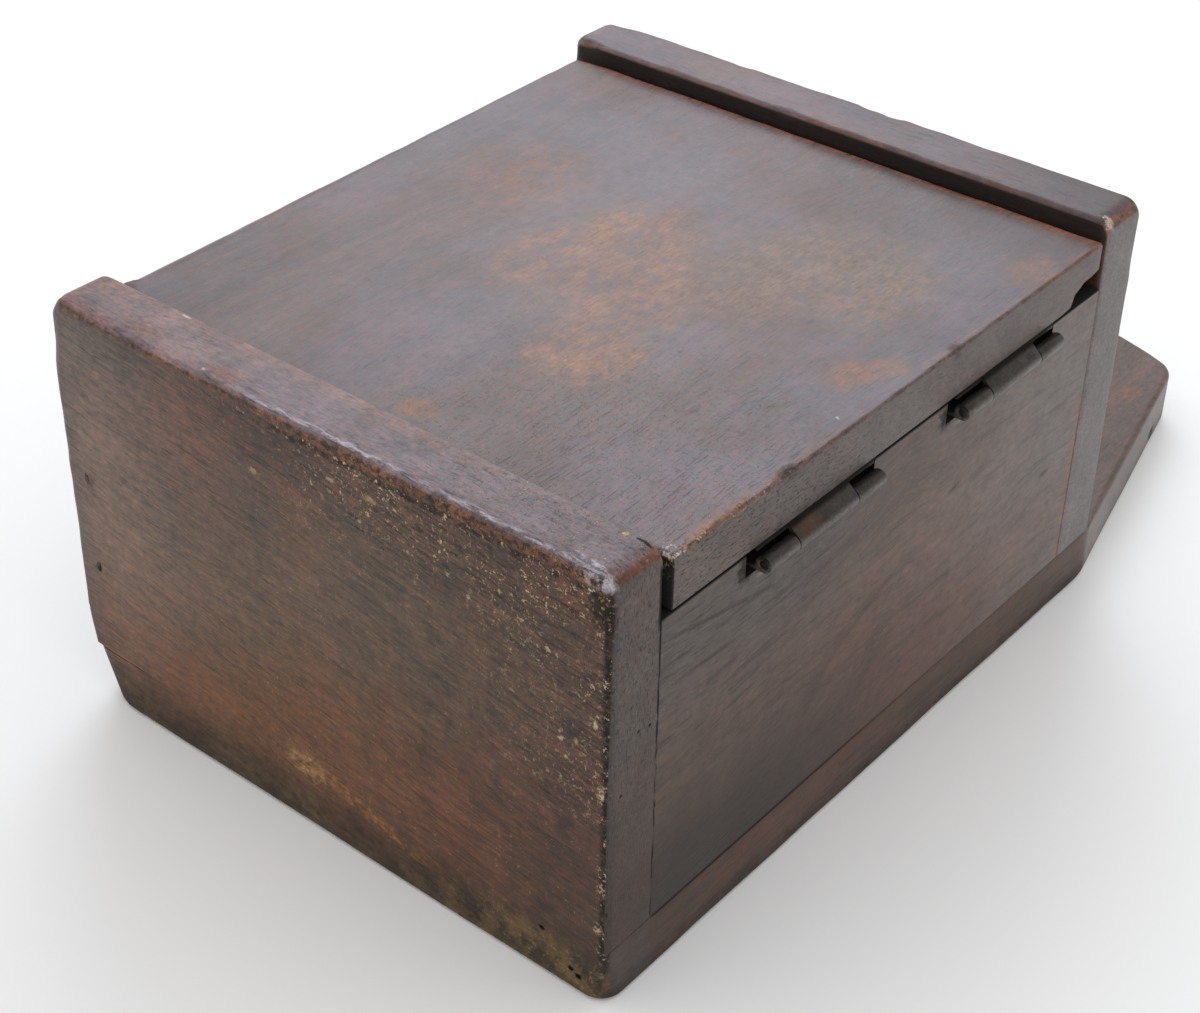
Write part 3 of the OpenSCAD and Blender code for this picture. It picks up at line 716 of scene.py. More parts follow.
def bottom_wood():
    f = Finish("bottom_wood")
    near_grain(f)
    x, y, z = f.x, f.y, f.z
    outer = x.rise(1.6, 0.4)
    drop = CASE_D - z
    near_face(f, outer)
    # The outer front edge: a broken orange and black line under a thin glint
    crest = corner_gap(x, drop)
    lean = drop / (x + drop + 0.01)
    wide = y.rise(110, 50) * 1.6
    line = lean.rise(0.30, 0.55) * (f.ragged(crest, 2.2) - wide).rise(2.6, 1.2)
    f.tint(line * 0.6, "33221a", 0.6)
    bare = f.fine.rise(0.40, 0.54) * (0.4 + f.worn.rise(0.42, 0.58) * 0.4)
    f.tint(line * bare, "7e4c31", 0.5)
    f.tint(line * f.flecks(0.45, 2.0, 0.53) * 0.75, "1d1410", 0.7)
    dusted(f, line * y.rise(125, 85), 1.3, 17.0, 0.75, GOLD_DUST, 0.58)
    low_edge = near(f.ragged(drop, 2.4), 4.0, 1.2) * outer * y.rise(112, 70)
    f.tint(low_edge * f.fine.rise(0.44, 0.56) * 0.8, SOOT_AND_SHADE, 0.8)
    dusted(f, low_edge, 0.7, 27.0, 0.95, CREAM_DUST, 0.58)
    dusted(f, crest.rise(2.0, 0.8), 0.9, 9.0, 0.7, PALE_DUST_AND_GLINT, 0.67)
    # A painted highlight along the crest, in thin broken threads
    shine = lean.rise(0.50, 0.30) * f.ragged(crest, 1.2).rise(2.0, 1.1)
    thread = f.drawn(x * 1.6, y * 0.28, z * 1.6, 4.0, 0.7).rise(0.44, 0.58)
    f.tint(shine * y.rise(104, 74) * (0.08 + thread * 0.9), "d2ceda", 0.3)
    # The front edge itself: greyed by a painted sheen, warmer by the catch side, scuffed along its inner
    # corner
    top = drop.rise(1.4, 0.5)
    f.tint(top * (0.46 + f.haze.rise(0.35, 0.62) * 0.22), "7f747c")
    f.tint(top * f.grit.rise(0.48, 0.62) * 0.26, "7a4a3a")
    f.tint(top * f.pores * 0.5, PORE)
    f.tint(top * y.rise(60, 140) * f.patch.rise(0.42, 0.60) * 0.38, "8e6658")
    bare_spots = ((4.1, 122), (2.2, 5.0)), ((3.1, 98), (1.8, 4.0))
    f.spots((x, y), bare_spots, top * 0.42, RUBBED_BROWN, 0.5, 0.8, 0.7)
    handled = top * y.rise(80, 15)
    f.tint(handled * f.flecks(1.1, 15.0, 0.56) * 0.4, PORE, 0.6)
    dusted(f, handled, 1.2, 29.0, 0.34, PALE_DUST_AND_GLINT, 0.59)
    within = f.ragged(BOTTOM_HIGH[0] - x, 5)
    f.tint(within.rise(4.5, 1.0) * top * y.rise(28, 45) * (0.10 + f.fine * 0.25), RUBBED_BROWN, 0.5)
    dusted(f, within.rise(5.0, 1.0) * top * y.rise(44, 26), 1.0, 31.0, 0.6, CREAM_DUST, 0.57)
    scuffs = ((12.8, 119), (0.3, 1.2)), ((1.6, 102), (0.35, 0.35)), ((13.0, 0.8), (0.5, 0.5))
    f.spots((x, y), scuffs, top * 0.45, PALE_DUST_AND_GLINT, 0.6, 0.9, 0.5)
    f.tint(f.blot(x, y, (12.2, 7.4), (0.6, 0.5), 0, 1.0, 0.4) * top * 0.8, "c9b184", 0.9)
    f.tint(f.blot(x, y, (12.6, 3.0), (0.35, 2.2), 0, 0.9, 0.4) * top * 0.9, SOOT_AND_SHADE, 0.8)
    # A painted highlight on the corner by the hinge side
    shiny = f.blot(x, y, (1.2, 4.5), (1.2, 6.5), -8, 0.8, 0.6) * f.fine.rise(0.42, 0.58)
    f.tint(shiny * drop.rise(4.0, 2.0) * 0.65, GLINT, 0.3)
    rim = corner_gap(y, drop).rise(2.4, 1.0) * x.rise(1.5, 3.5)
    f.tint(rim * f.fine.rise(0.40, 0.56) * 0.7, "7c4430", 0.5)
    dusted(f, rim, 1.2, 23.0, 0.5, PALE_DUST_AND_GLINT, 0.60)
    # End grain at the hinge side, browner to the foot as painted shade, with short pores and pin holes
    end = end_grain(f, 0.62, GREY_DUST_AND_SHEEN)
    f.tint(end * z.rise(80, 14) * 0.82, "33251b")
    short = f.drawn(x * 2.4, z * 0.6, y, 1.5).rise(0.57, 0.67)
    f.tint(end * short * z.rise(20, 70) * 0.7, PORE)
    f.dent(end * short, 0.05)
    # The pin holes painted black as their shade
    pin_holes = [(at, (0.35, 0.35)) for at in ((11.3, 64.8), (8.0, 65.3), (3.4, 53.0))]
    f.spots((x, z), pin_holes, end, SOOT_AND_SHADE, 0.9, 0.5, 0.4)
    # A broken line at the side board, bare wood inside, painted shade, black, in the door's gap
    broken = f.drawn(x, y, z * 0.22, 2.0).rise(0.42, 0.54)
    f.tint(end * (BOTTOM_HIGH[0] - x).rise(0.4, 0.15) * broken * z.rise(88, 86) * 0.95, SOOT_AND_SHADE, 0.9)
    sawn(f, near(x, BOTTOM_HIGH[0], 0.4) * z.rise(86, 84) * y.rise(0.6, 1.5))
    seat = near(x, BOTTOM_HIGH[0], 1.0) * z.rise(84, 87) * drop.rise(3.0, 5.0)
    f.tint(seat * (0.5 + y.rise(16, 4) * 0.5), SOOT_AND_SHADE, 0.9)
    grained(f, 1.8)
    return f.done(Specular_IOR_Level=0.32)


def top_wood(slot_middle):
    f = Finish("top_wood")
    timber(f, "y", "z", "x", seed=71.0, sway=12.0, red=0.45, depth=0.6)
    pored(f, 0.2)
    x, y, z = f.x, f.y, f.z
    drop = CASE_D - z
    inner = corner_gap(x - TOP_LOW[0], drop)
    outer = corner_gap(TOP_HIGH[0] - x, drop)
    rubbed(f, inner.least(outer), 1.2, 0.3, RUBBED_BROWN)
    top = drop.rise(1.4, 0.5)
    # A painted bluish sheen over the top face
    f.tint(top * (0.16 + f.haze.rise(0.35, 0.62) * 0.2), PAINTED_BLUE_SHEEN)
    f.tint(top * (1 - y.rise(10, 50)) * 0.5, STAIN_DARK)
    # A painted highlight at the inner corner by the hinge side
    glint = f.blot(x, y, (170.2, 1.8), (1.3, 1.5), 0, 0.8, 0.5) * drop.rise(4.0, 2.0)
    f.tint(glint * f.fine.rise(0.36, 0.54) * 0.85, PALE_DUST_AND_GLINT, 0.4)
    rim = corner_gap(y, drop - 1.0).rise(3.0, 1.0)
    f.tint(rim * f.fine.rise(0.40, 0.58) * 0.5, RUBBED_ORANGE, 0.5)
    end_grain(f, 0.62, "6a6a69")
    # The outside: grime towards the tab, wear round the slot
    out = (TOP_HIGH[0] - x).rise(0.8, 0.3)
    beside = (abs(y - CASE_W / 2) - (SLOT_L - SLOT_W) / 2).most(0.0)
    mouth = corner_gap(beside, z - slot_middle) - SLOT_W / 2
    f.tint(out * (0.15 + f.haze.rise(0.40, 0.62) * 0.3), "4a3f3a")
    rubbed(f, mouth, 4.0, out * 0.55, RUBBED_BROWN)
    f.tint(out * f.ragged(z, 16).rise(44, 15) * 0.6, GRIME, 0.6)
    f.tint(out * f.worn.rise(0.52, 0.64) * 0.3, STAIN_DARK)
    dusted(f, out * f.haze.rise(0.44, 0.60), 0.9, 51.0, 0.5, DUST, 0.62)
    # Inside: bare sawn wood below the door, and painted shade, black, from the door up to the top
    face = (x - TOP_LOW[0]).rise(0.7, 0.2)
    sawn(f, face * z.rise(88, 84))
    f.tint(face * z.rise(84, 87) * drop.rise(0.6, 1.2) * (0.55 + z.rise(95, 99) * 0.38), SOOT_AND_SHADE, 0.8)
    grained(f, 1.6)
    return f.done(Specular_IOR_Level=0.4)


PIN_HEIGHT = sum(box_mm("lower_hinge_pin"))[2] / 2
DARK_LINES = (((30.2, 78.6), (16.6, 0.5), -10.8), ((27.8, 69.6), (8.1, 0.45), -2.8),
              ((154.6, 45.6), (1.6, 0.7), 0), ((113.6, 63.1), (1.8, 0.6), 10))


def side_wood(name, seed, heart):
    """A side board; heart is where its rings bend round, and how much they are drawn out."""
    f = Finish(name)
    timber(f, "x", "z", "y", seed=seed, sway=18.0, red=0.35, depth=0.6)
    x, z = f.x, f.z
    handled = x.rise(90, 30) * z.rise(40, 70)
    pored(f, handled * 0.5 + 0.2)
    # Greyed all over by dust and a painted sheen
    f.tint(0.62, "4f463f")
    middle = f.blot(x, z, (95, 44), (52, 22), 12, 0.5, 0.8)
    f.tint(middle * (0.3 + f.haze * 0.4), "6c4c3e")
    # Lighter towards the far end: painted light
    f.tint(x.rise(78, 168) * 0.5, PALE_FILM_AND_PAINTED_LIGHT)
    # Greyer at the upper near end: dust and a painted sheen
    f.tint(z.rise(48, 74) * x.rise(105, 50) * 0.6, GREY_DUST_AND_SHEEN)
    # Darker towards the bottom and the near end: painted shade
    f.tint(f.ragged(z, 12).rise(62, 17) * x.rise(175, 30) * 0.94, "241a14")
    f.tint(f.blot(x, z, (128, 26), (40, 13), 8, 0.5, 0.8) * 0.35, "6a4030")
    ring = corner_gap((f.along - heart[0]) * heart[2], f.across - heart[1])
    ring = f.drawn(ring * 0.2, f.along * 0.004, 0.0, 3.0, 0.7)
    shown = f.blot(x, z, (heart[0] - 30, heart[1] + 22), (38, 30), 30, 0.4, 0.8)
    f.tint(ring.rise(0.50, 0.36) * shown * 0.45, STAIN_DARK)
    line = f.drawn(x * 0.05, f.across * 0.45, 0.0, 4.0, 0.62).rise(0.50, 0.70)
    f.tint(line * (0.42 + handled * 0.2), PORE)
    # Dark joint lines round the board; along the top, where the door sits, partly painted shade
    broken = f.drawn(x, f.y, z * 0.22, 2.0).rise(0.42, 0.54)
    outside = f.y.rise(1.4, 0.5).most(f.y.rise(CASE_W - 1.4, CASE_W - 0.5))
    for gap, share in ((HINGE_HIGH[2] - z, 0.4 + outside * 0.45),
                       ((z - HINGE_LOW[2]) * 0.6, x.rise(135, 55) * 0.95),
                       (x - HINGE_LOW[0], broken * z.rise(16, 30)), (HINGE_HIGH[0] - x, 0.5)):
        f.tint(gap.rise(0.45, 0.15) * share, SOOT_AND_SHADE, 0.8)
    inside = near(f.y, HINGE_HIGH[1], 0.4).most(near(f.y, CATCH_LOW[1], 0.4))
    sawn(f, inside)
    if name.startswith("hinge"):
        f.spots((x, z), DARK_LINES, 0.5, PORE, 0.7, 0.8, 0.9)
        bare = near(x, HINGE_HIGH[0] - 0.9, 1.0) * z.rise(64, 56) * f.fine.rise(0.36, 0.56)
        f.tint(bare * 0.6, RUBBED_ORANGE, 0.5)
        # Above the mortises' floor, inside the outer face, painted black as shade
        floor = box_mm("lower_hinge_case_leaf")[0][2]
        depth = f.y.rise(-0.02, 0.15) * f.y.rise(11.5, 11.2) * z.rise(floor - 0.2, floor - 0.05)
        f.tint(depth, SOOT_AND_SHADE, 0.9)
        for leaf in ("lower_hinge_case_leaf", "upper_hinge_case_leaf"):
            low, high = box_mm(leaf)
            # Painted shadow by each hinge's near end and in a line under its barrel; a painted highlight
            # below
            ragged = f.blot(x, z, (low[0] - 3.2, PIN_HEIGHT + 0.2), (2.6, 2.6), 20, 1.1, 0.5)
            f.tint(ragged * 0.8, SOOT_AND_SHADE, 0.9)
            under = x.rise(low[0] - 1, low[0] + 2) * x.rise(high[0] + 5, high[0] + 2)
            f.tint(near(z, PIN_HEIGHT - 2.3, 0.7) * under * 0.5, SOOT_AND_SHADE, 0.8)
            f.tint(near(z, PIN_HEIGHT - 3.4, 0.6) * under * (0.3 + f.fine * 0.4), "a09b94", 0.6)
    grained(f, 1.6)
    return f.done(Specular_IOR_Level=0.34)


def back_wood():
    f = Finish("back_wood")
    near_grain(f)
    near_face(f, 1.0)
    grained(f, 1.8)
    near_end = f.layers()
    timber(f, "x", "y", "z", seed=93.0, sway=10.0, red=0.4, depth=0.7)
    pored(f, 0.3)
    x, y, z = f.x, f.y, f.z
    side = y.rise(0.7, 0.25)
    f.tint(side * 0.65, "3c2a1d")
    f.tint(side * x.rise(BOTTOM_HIGH[0] + 1, BOTTOM_HIGH[0] - 1) * 0.75, "3d352e")
    trail = f.drawn(x * 0.05, y, z * 0.6, 3.0, 0.6).rise(0.46, 0.62)
    f.tint(side * trail * z.rise(12, 8) * 0.5, PORE)
    f.tint(f.ragged(z, 6).rise(6.0, 0.5) * 0.6, PORE, 0.75)
    joint = (BACK_T - z).rise(0.6, 0.2) * x.rise(130, 50) * x.rise(BOTTOM_HIGH[0], BOTTOM_HIGH[0] + 1.5)
    f.tint(joint * 0.85, SOOT_AND_SHADE, 0.8)
    within = (x.rise(BOTTOM_HIGH[0], BOTTOM_HIGH[0] + 1) * x.rise(TOP_LOW[0] + 1, TOP_LOW[0])
              * y.rise(HINGE_HIGH[1], HINGE_HIGH[1] + 1) * y.rise(CATCH_LOW[1] + 1, CATCH_LOW[1]))
    sawn(f, within * near(z, BACK_T, 0.3))
    # The tab
    tab = x.rise(CASE_L, CASE_L + 4)
    f.tint(tab * 0.22, PALE_FILM_AND_PAINTED_LIGHT)
    rim = tab * (BACK_T - z).rise(0.8, 1.8)
    f.tint(rim * 0.74, PALE_FILM_AND_PAINTED_LIGHT)
    f.tint(f.blot(x, y, (245, 22), (3.6, 2.4), 0, 0.6, 0.7) * tab * 0.42, RUBBED_BROWN, 0.5)
    mark = f.blot(x, z, (247, 3.8), (2.2, 1.5), 0, 0.6, 0.4) * rim * y.rise(40, 30)
    f.tint(mark * 0.85, SOOT_AND_SHADE, 0.8)
    f.dent(mark, 0.4)
    grained(f, 1.6)
    f.cover(x.rise(2.0, 0.8), near_end)
    return f.done(Specular_IOR_Level=0.32)


# Metal

def hinge_iron():
    f = Finish("hinge_iron")
    patch = f.noise(f.spot, 0.25, 4.0, 0.65)
    fine = f.noise(f.spot, 1.3, 4.0, 0.6)
    up = f.z - PIN_HEIGHT
    f.colour = f.blend(fine.rise(0.3, 0.75), "55514e", "6c6864")
    rust = patch.rise(0.56, 0.70)
    f.tint(rust * 0.4, "553626")
    # The upper half of the barrels darker: painted shade under the door's edge
    f.tint(up.rise(0.1, 1.4) * (0.45 + patch * 0.5), "1b1715")
    lower = f.blot(f.x, up, (55.2, 2.0), (3.4, 1.2), 0, 0.9, 0.8)
    f.tint(lower * 0.36, "64432f")
    # The leaves above the barrels and inside the mortises painted black as their shade
    leaf_in_shade = up.rise(2.5, 3.3).most(f.y.rise(-0.1, 0.8) * up.rise(-1.6, -0.8) * up.rise(4.2, 3.2))
    f.tint(leaf_in_shade * 0.92, SOOT_AND_SHADE)
    # A painted highlight along the outside of the barrels, below the pin
    f.tint(near(up, -1.2, 0.34) * f.y.rise(-1.9, -2.4) * 0.6, "8f8c86")
    f.rough = 0.36 + rust * 0.2 + (fine - 0.5) * 0.16 + leaf_in_shade * 0.4
    f.height = fine * 0.04 + rust * 0.03
    f.metal = (0.6 - rust * 0.45) * (1.0 - leaf_in_shade)
    return f.done(Specular_IOR_Level=0.1)


def dark_iron():
    f = Finish("dark_iron")
    fine = f.noise(f.spot, 1.8, 4.0, 0.6)
    patch = f.noise(f.spot, 0.6, 3.0, 0.6)
    f.colour = f.blend(fine.rise(0.35, 0.7), "221e1c", "3d3734")
    f.tint(patch.rise(0.5, 0.7) * 0.7, "5a3522")
    f.rough = 0.5 + (fine - 0.5) * 0.3
    f.height = fine * 0.06
    f.metal = 0.7 - patch.rise(0.5, 0.7) * 0.5
    return f.done()


def catch_brass():
    f = Finish("catch_brass")
    fine = f.noise(f.spot, 1.2, 4.0, 0.6)
    patch = f.noise(f.spot, 0.3, 4.0, 0.65)
    f.colour = f.blend(fine.rise(0.3, 0.7), "8a6c35", "a88748")
    f.tint(patch.rise(0.45, 0.65) * 0.75, "4b3a22")
    f.rough = 0.34 + patch.rise(0.45, 0.65) * 0.25 + (fine - 0.5) * 0.15
    f.height = fine * 0.03
    f.metal = 1.0 - patch.rise(0.45, 0.65) * 0.35
    return f.done()


# Boards

BOTTOM_CATCH_R = 5.5  # front corners of the end boards
TOP_CATCH_R = 2.5
HINGE_CORNER_R = 4.0


def dress(piece, node, body, material):
    """A finished piece: it stands for a node, moves with a body and takes a slot's finish."""
    piece.data.shade_smooth()
    piece.data.set_sharp_from_angle(angle=SHARP_ANGLE)
    piece.data.materials.clear()
    piece.data.materials.append(material)
    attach(piece, body)
    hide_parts(node)


NAIL_HEAD_R = 1.75
NAIL_RECESS = 1.2


def nail_places(node, plane):
    """Where a node's nails stand, from its box, on the two axes of a plane."""
    low, high = box_mm(node)
    return [(a, b) for a in (low[plane[0]] + NAIL_HEAD_R, high[plane[0]] - NAIL_HEAD_R)
            for b in (low[plane[1]] + NAIL_HEAD_R, high[plane[1]] - NAIL_HEAD_R)]


def bottom_board():
    outline = Outline([(0, BACK_T, 0.25), (CASE_W - 1.6, BACK_T, 0.8), (CASE_W, BACK_T + 10, 12.0),
                       (CASE_W, CASE_D, BOTTOM_CATCH_R), (0, CASE_D, HINGE_CORNER_R)])
    chips = [(118, CASE_D, 2.5, 0.25), (96, CASE_D, 2.5, 0.35), (60, CASE_D, 3, 0.4), (38, CASE_D, 3, 0.5),
             (14, CASE_D, 3.5, 0.4), (0, 95, 3, 0.4)]
    tight = [(CASE_W / 2 - 2, BACK_T, CASE_W / 2 + 4, -1.8), (0, BACK_T, 7, -1.2)]
    soft = [(CASE_W, CASE_D * 0.62, CASE_D * 0.5, 1.3), (CASE_W, CASE_D, 14, 2.2), (24, CASE_D, 44, 1.1)]
    outer = outline.worn(0.9, 0.22, 4, chips + tight + soft, 4.0, least=0.02)
    inner = outline.worn(0.3, 0.25, 5, tight + [(0, CASE_D, 6, -0.2)], least=0.05)
    piece = rounded_board("bottom_board_wood", outline, BOTTOM_LOW[0], BOTTOM_HIGH[0], (1, 2, 0),
                          outer, inner)
    dents = [((0, y, z), (0.5, 0.8, 1.5))
             for y, z in nail_places("bottom_board_nails", (1, 2)) if y > CASE_W / 2]
    cut(piece, nibbles(dents, 2), nibbles(scattered((0, 4, CASE_D), (0, 118, CASE_D), 34, 0.42, 3), 4),
        nibbles(scattered((0, -0.1, 92), (0, -0.1, 20), 16, 0.4, 5), 6))
    dress(piece, "bottom_board", "case", bottom_wood())


SLOT_W = 12.0
SLOT_L = 112.0


def top_board():
    wide = TOP_HIGH[1]
    outline = Outline([(0, BACK_T, 0.1), (wide, BACK_T, 1.0), (wide, CASE_D, TOP_CATCH_R),
                       (0, CASE_D, HINGE_CORNER_R)])
    blunt = [(wide, CASE_D, 8, 1.6), (0, BACK_T, 10, -2.0), (CASE_W / 2, BACK_T, CASE_W / 2, -2.0)]
    inner_chips = [(85, CASE_D, 2.5, 0.8), (120, CASE_D, 3, 0.4), (30, CASE_D, 3, 0.4)]
    outer_chips = [(65, CASE_D, 3, 1.1), (71, CASE_D, 2.5, 0.8), (108, CASE_D, 2.5, 0.4)]
    inner = outline.worn(1.5, 0.2, 14, inner_chips + blunt, least=0.05)
    outer = outline.worn(1.5, 0.2, 15, outer_chips + blunt, least=0.05)
    piece = rounded_board("top_board_wood", outline, TOP_LOW[0], TOP_HIGH[0], (1, 2, 0), inner, outer)
    opening = next(o for o in frame["record"]["physics"]["openings"] if o["name"] == "letter_slot")
    low, high = (np.array(c) / MM - CORNER for c in opening["box_m"])
    middle, half, reach = (low[2] + high[2]) / 2, SLOT_W / 2, (SLOT_L - SLOT_W) / 2
    slot = Outline([(CASE_W / 2 + side * (reach + half), middle + end * half, half - 0.01)
                    for side, end in ((-1, -1), (1, -1), (1, 1), (-1, 1))], spacing=4)
    cutter = rounded_board("cutter", slot, TOP_LOW[0] - 2, TOP_HIGH[0] + 2, (1, 2, 0),
                           np.full(slot.count, 0.2), np.full(slot.count, 0.2))
    nails = [drill((CASE_L + 1, y, z), (CASE_L - NAIL_RECESS, y, z), NAIL_HEAD_R)
             for y, z in nail_places("top_board_nails", (1, 2))]
    chips = [((TOP_LOW[0], 85, CASE_D), (0.9, 2.4, 0.9)),
             ((CASE_L, 64, CASE_D), (1.1, 3.2, 0.9)), ((CASE_L, 71, CASE_D), (1.0, 1.6, 0.8))]
    cut(piece, cutter, *nails, nibbles(chips, 16))
    dress(piece, "top_board", "case", top_wood(middle))


def side_board(node, name, material, low, high, cutters=()):
    outline = Outline([(low[0], low[2], 0.15), (high[0], low[2], 0.15), (high[0], high[2], 0.15),
                       (low[0], high[2], 0.15)])
    worn = outline.worn(0.15, 0.3, 24, least=0.05)
    piece = rounded_board(name, outline, low[1], high[1], (0, 2, 1), worn, worn)
    cut(piece, *cutters)
    dress(piece, node, "case", material)


MORTISE_SPARE = 3.5   # below each hinge
MORTISE_ROOM = 0.3


def mortise(leaf):
    low, high = box_mm(leaf)
    return block((low[0] - MORTISE_SPARE, -2, low[2]),
                 (high[0] + MORTISE_ROOM, high[1] + MORTISE_ROOM, HINGE_HIGH[2] + 2))


def side_boards():
    side_board("hinge_side", "hinge_side_wood", side_wood("hinge_side_wood", 53.0, (112, 22, 0.6)),
               HINGE_LOW, HINGE_HIGH,
               [mortise("lower_hinge_case_leaf"), mortise("upper_hinge_case_leaf")])
    side_board("catch_side", "catch_side_wood", side_wood("catch_side_wood", 59.0, (70, 25, 0.5)),
               CATCH_LOW, CATCH_HIGH)


def broken_corner():
    """The bite out of the door's inner edge at its top hinge corner, largest at the hinge edge."""
    end, under = DOOR_HIGH[0], DOOR_LOW[2]
    rise = [(-17.0, -1.0), (-16.0, 0.1), (-11.8, 0.5), (-11.2, 1.8), (-10.6, 3.0), (-8.8, 3.9), (-7.0, 4.7),
            (-3.7, 5.0), (-0.5, 5.6), (0.8, 7.0), (2.0, 9.5), (4.0, 9.5), (4.0, -1.0)]
    sections = [(-1.5, 1.0), (3.0, 0.92), (7.0, 0.7), (10.5, 0.42), (13.0, 0.12)]
    shake = np.random.default_rng(8)
    rings = []
    for y, size in sections:
        ring = []
        for x, z in rise:
            jitter = shake.uniform(-0.25, 0.25, 3) * (z > 1)
            ring.append((end + 4 + (x - 4) * size + jitter[0], y + jitter[1],
                         under - 1 + (z + 1) * size + jitter[2]))
        rings.append(ring)
    return tube("cutter", rings)


ROLL_PLACES = (16, 24, 44, 69, 101, 136, 159)     # how far the door's catch edge rolls over, along the door
ROLL_SIZES = (5.6, 5.6, 5.2, 4.3, 3.5, 2.3, 1.7)
ROLL_REACH = 12.0


def door():
    low, high = DOOR_LOW, DOOR_HIGH
    outline = Outline([(low[0], 0, 0.4), (high[0], 0, 0.6), (high[0], CASE_W, 1.2), (low[0], CASE_W, 1.2)])
    chips = [(50, 0, 3.0, 1.1), (31, 0, 6.0, 0.5), (low[0], 2, 3.0, 0.6), (low[0], 60, 5.0, 0.3)]
    inner = outline.worn(0.12, 0.3, 33, least=0.05)
    line = outline.drawn_in(0.0)
    towards = np.clip((line[:, 1] - CASE_W + ROLL_REACH) / ROLL_REACH, 0, 1)
    roll = np.interp(line[:, 0], ROLL_PLACES, ROLL_SIZES) * towards ** 2
    outer = outline.worn(0.7, 0.25, 34, chips, 4.0) + roll
    piece = rounded_board("door_wood", outline, low[2], high[2], (0, 1, 2), inner, outer, arc_rows=6)
    chips = [((51, 0, high[2]), (2.8, 1.3, 1.1)), ((54.5, 0, high[2]), (1.4, 0.9, 0.7)),
             ((108, 0, high[2]), (1.5, 0.7, 0.6))]
    edge = scattered((20, 0, high[2]), (160, 0, high[2]), 22, 0.32, 35)
    cut(piece, broken_corner(), nibbles(chips, 36),
        nibbles([e for e in edge if abs(e[0][0] - 51) > 7 and abs(e[0][0] - 107) > 6], 37))
    dress(piece, "door", "door", door_wood())


TAB_W = 109.0         # across the tab's shoulders
TAB_RISE = 11.0       # crest above the shoulders
TAB_SHOULDER_R = 9.0
CREST_PARTS = 12
HANGING_HOLE_SIDES = 48


def back_board():
    tab_end = BACK_HIGH[0]
    crest_r = ((TAB_W / 2) ** 2 + TAB_RISE ** 2) / (2 * TAB_RISE)
    half_angle = math.asin(TAB_W / 2 / crest_r)
    corners = [(CASE_L, 0, 30.0)]
    for k in range(CREST_PARTS + 1):
        a = half_angle * (2 * k / CREST_PARTS - 1)
        corners.append((tab_end - crest_r * (1 - math.cos(a)), CASE_W / 2 + crest_r * math.sin(a),
                        TAB_SHOULDER_R if k in (0, CREST_PARTS) else 0.0))
    corners.append((CASE_L, CASE_W, 30.0))
    outline = Outline([(0, 0, 1.2)] + corners + [(0, CASE_W, 5.0)])
    foot = Outline([(0, 0, 5.5)] + corners + [(0, CASE_W, 12.5)])
    under = outline.worn(1.6, 0.15, 43, step=12.0)
    upper = outline.worn(0.35, 0.2, 44, [(0, CASE_W, 3.5, 1.0), (0, CASE_W / 2, CASE_W / 2 + 2, -0.6),
                                         (0, 0, 12.0, -0.4)], least=0.02)
    tab_edge = np.clip((outline.drawn_in(0.0)[:, 0] - CASE_L - 4) / 10, 0, 1)
    piece = rounded_board("back_board_wood", outline, 0.0, BACK_T, (0, 1, 2), under, upper + 0.8 * tab_edge,
                          wall_rows=6, foot=foot)
    hole = next(m for m in frame["record"]["mounts"] if m["name"] == "hanging_hole")
    at = np.array(hole["pos_m"]) / MM - CORNER
    nails = [drill((x, y, -1), (x, y, NAIL_RECESS), NAIL_HEAD_R)
             for node in ("back_board_side_nails", "back_board_end_nails")
             for x, y in nail_places(node, (0, 1))]
    worms = [((0.5, y, z), (1.6, 0.7, 0.55)) for (y, z), _ in WORM_HOLES]
    cut(piece, drill((at[0], at[1], -2), (at[0], at[1], BACK_T + 2), hole["dims"]["r_mm"],
                     HANGING_HOLE_SIDES), *nails, nibbles(worms, 45))
    dress(piece, "back_board", "case", back_wood())


# Ironwork and brass: the frame's own shapes with their sharp edges taken off

FLAT_ANGLE = math.radians(2)
EASED_ANGLE = math.radians(40)


def eased(node, body, material, ease):
    """A node's own shape with its edges eased."""
    mesh = frame["nodes"][node].data.copy()
    mesh.name = node + "_metal"
    made = bmesh.new()
    made.from_mesh(mesh)
    bmesh.ops.remove_doubles(made, verts=made.verts, dist=MERGE_WITHIN)
    bmesh.ops.dissolve_limit(made, angle_limit=FLAT_ANGLE, verts=made.verts, edges=made.edges)
    made.to_mesh(mesh)
    made.free()
    piece = add_object(mesh.name, mesh)
    soft = piece.modifiers.new("ease", "BEVEL")
    soft.width = ease * MM
    soft.segments = 2
    soft.limit_method = "ANGLE"
    soft.angle_limit = EASED_ANGLE
    soft.use_clamp_overlap = True
    settle(piece)
    dress(piece, node, body, material)


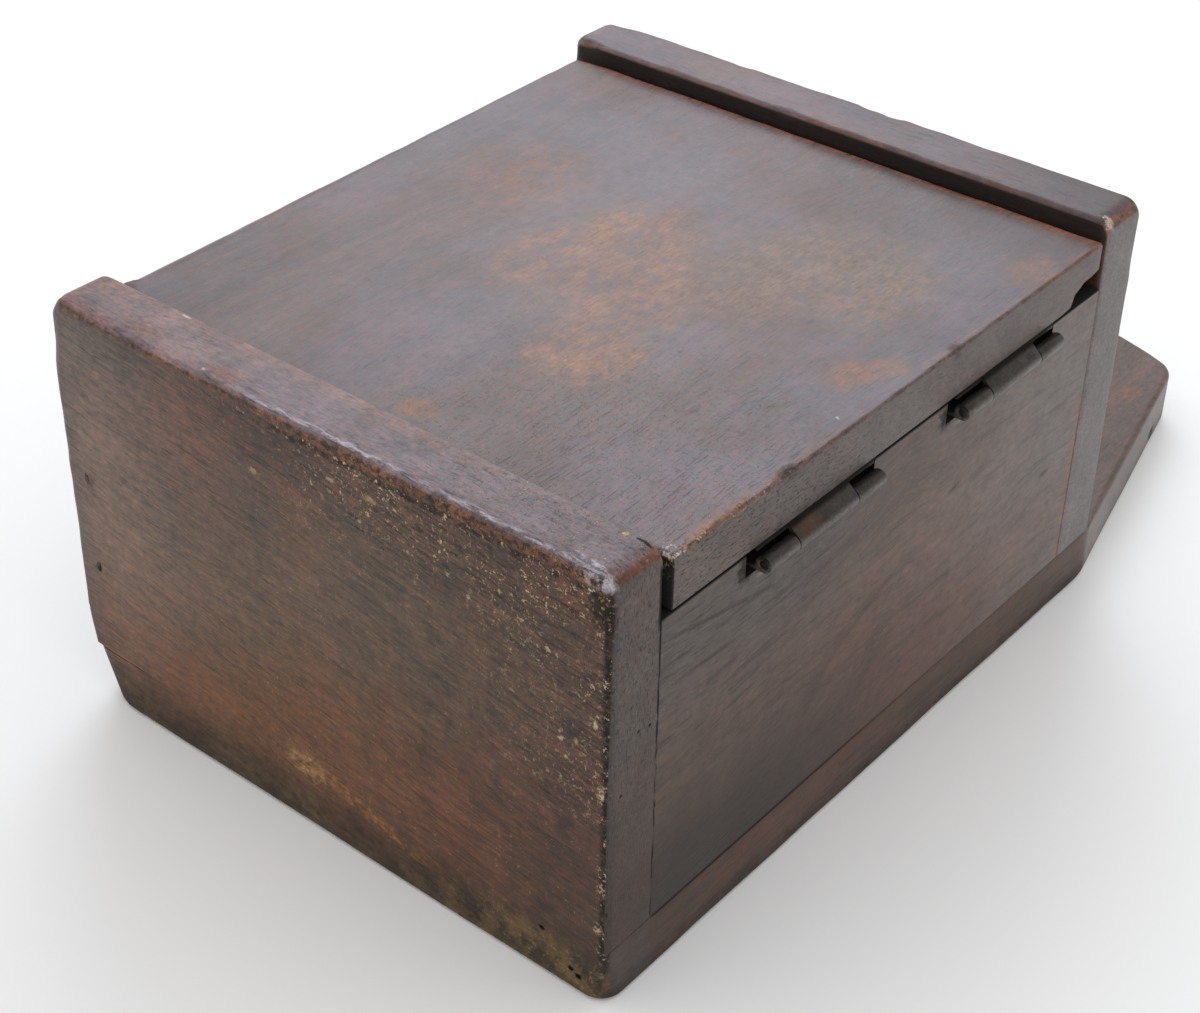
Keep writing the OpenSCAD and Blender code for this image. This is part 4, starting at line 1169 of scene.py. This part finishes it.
def metalwork():
    iron, dark, brass = hinge_iron(), dark_iron(), catch_brass()
    for hinge in ("lower_hinge", "upper_hinge"):
        eased(hinge + "_case_leaf", "case", iron, 0.16)
        eased(hinge + "_door_leaf", "door", iron, 0.16)
        eased(hinge + "_pin", "case", dark, 0.15)
        eased(hinge + "_case_screws", "case", dark, 0.08)
        eased(hinge + "_door_screws", "door", dark, 0.08)
    for nails in ("bottom_board_nails", "top_board_nails", "back_board_side_nails", "back_board_end_nails"):
        eased(nails, "case", dark, 0.15)
    eased("catch_hook", "catch", brass, 0.2)
    eased("catch_pivot_screw", "case", brass, 0.1)
    eased("catch_stud", "door", brass, 0.15)


# Floor and light

FLOOR_SIZE = 8.0
FLOOR_COLOUR = (0.93, 0.93, 0.93, 1.0)
FLOOR_ROUGH = 0.7
WHITE = (1.0, 1.0, 1.0, 1.0)
SKY_STRENGTH = 0.97
BACK_LIGHT_POWER = 14.0
BACK_LIGHT_SIZE = 1.2
BACK_LIGHT_COLOUR = (0.82, 0.90, 1.0)
BACK_LIGHT_AT = (1.35, 1.09, 1.42)
BACK_LIGHT_AIM = (0.0, 0.0, 0.06)


def set_stage():
    half = FLOOR_SIZE / 2
    mesh = bpy.data.meshes.new("floor")
    corners = [(-half, -half, 0), (half, -half, 0), (half, half, 0), (-half, half, 0)]
    mesh.from_pydata(corners, [], [(0, 1, 2, 3)])
    floor = add_object("floor", mesh)
    f = Finish("floor")
    f.colour = FLOOR_COLOUR
    f.rough = FLOOR_ROUGH
    mesh.materials.append(f.done())


def set_light():
    world = bpy.data.worlds.new("sky")
    bpy.context.scene.world = world
    world.use_nodes = True
    sky = Nodes(world.node_tree)
    camera, glossy, through = (sky.node("LightPath", out=ray)
                               for ray in ("Is Camera Ray", "Is Glossy Ray", "Is Transmission Ray"))
    lit = sky.node("Background", None, {"Color": WHITE, "Strength": SKY_STRENGTH})
    white = sky.node("Background", None, {"Color": WHITE, "Strength": 1.0})
    seen = sky.node("MixShader", None, {0: camera.most(glossy).most(through), 1: lit, 2: white})
    sky.node("OutputWorld", None, {"Surface": seen})
    lamp = bpy.data.lights.new("back_light", "AREA")
    lamp.shape = "SQUARE"
    lamp.size = BACK_LIGHT_SIZE
    lamp.energy = BACK_LIGHT_POWER
    lamp.color = BACK_LIGHT_COLOUR
    light = add_object("back_light", lamp)
    light.location = BACK_LIGHT_AT
    aim = Vector(BACK_LIGHT_AIM) - light.location
    light.rotation_euler = aim.to_track_quat("-Z", "Y").to_euler()
    bpy.context.scene.view_settings.view_transform = "Standard"


bottom_board()
top_board()
side_boards()
back_board()
door()
metalwork()
set_stage()
set_light()
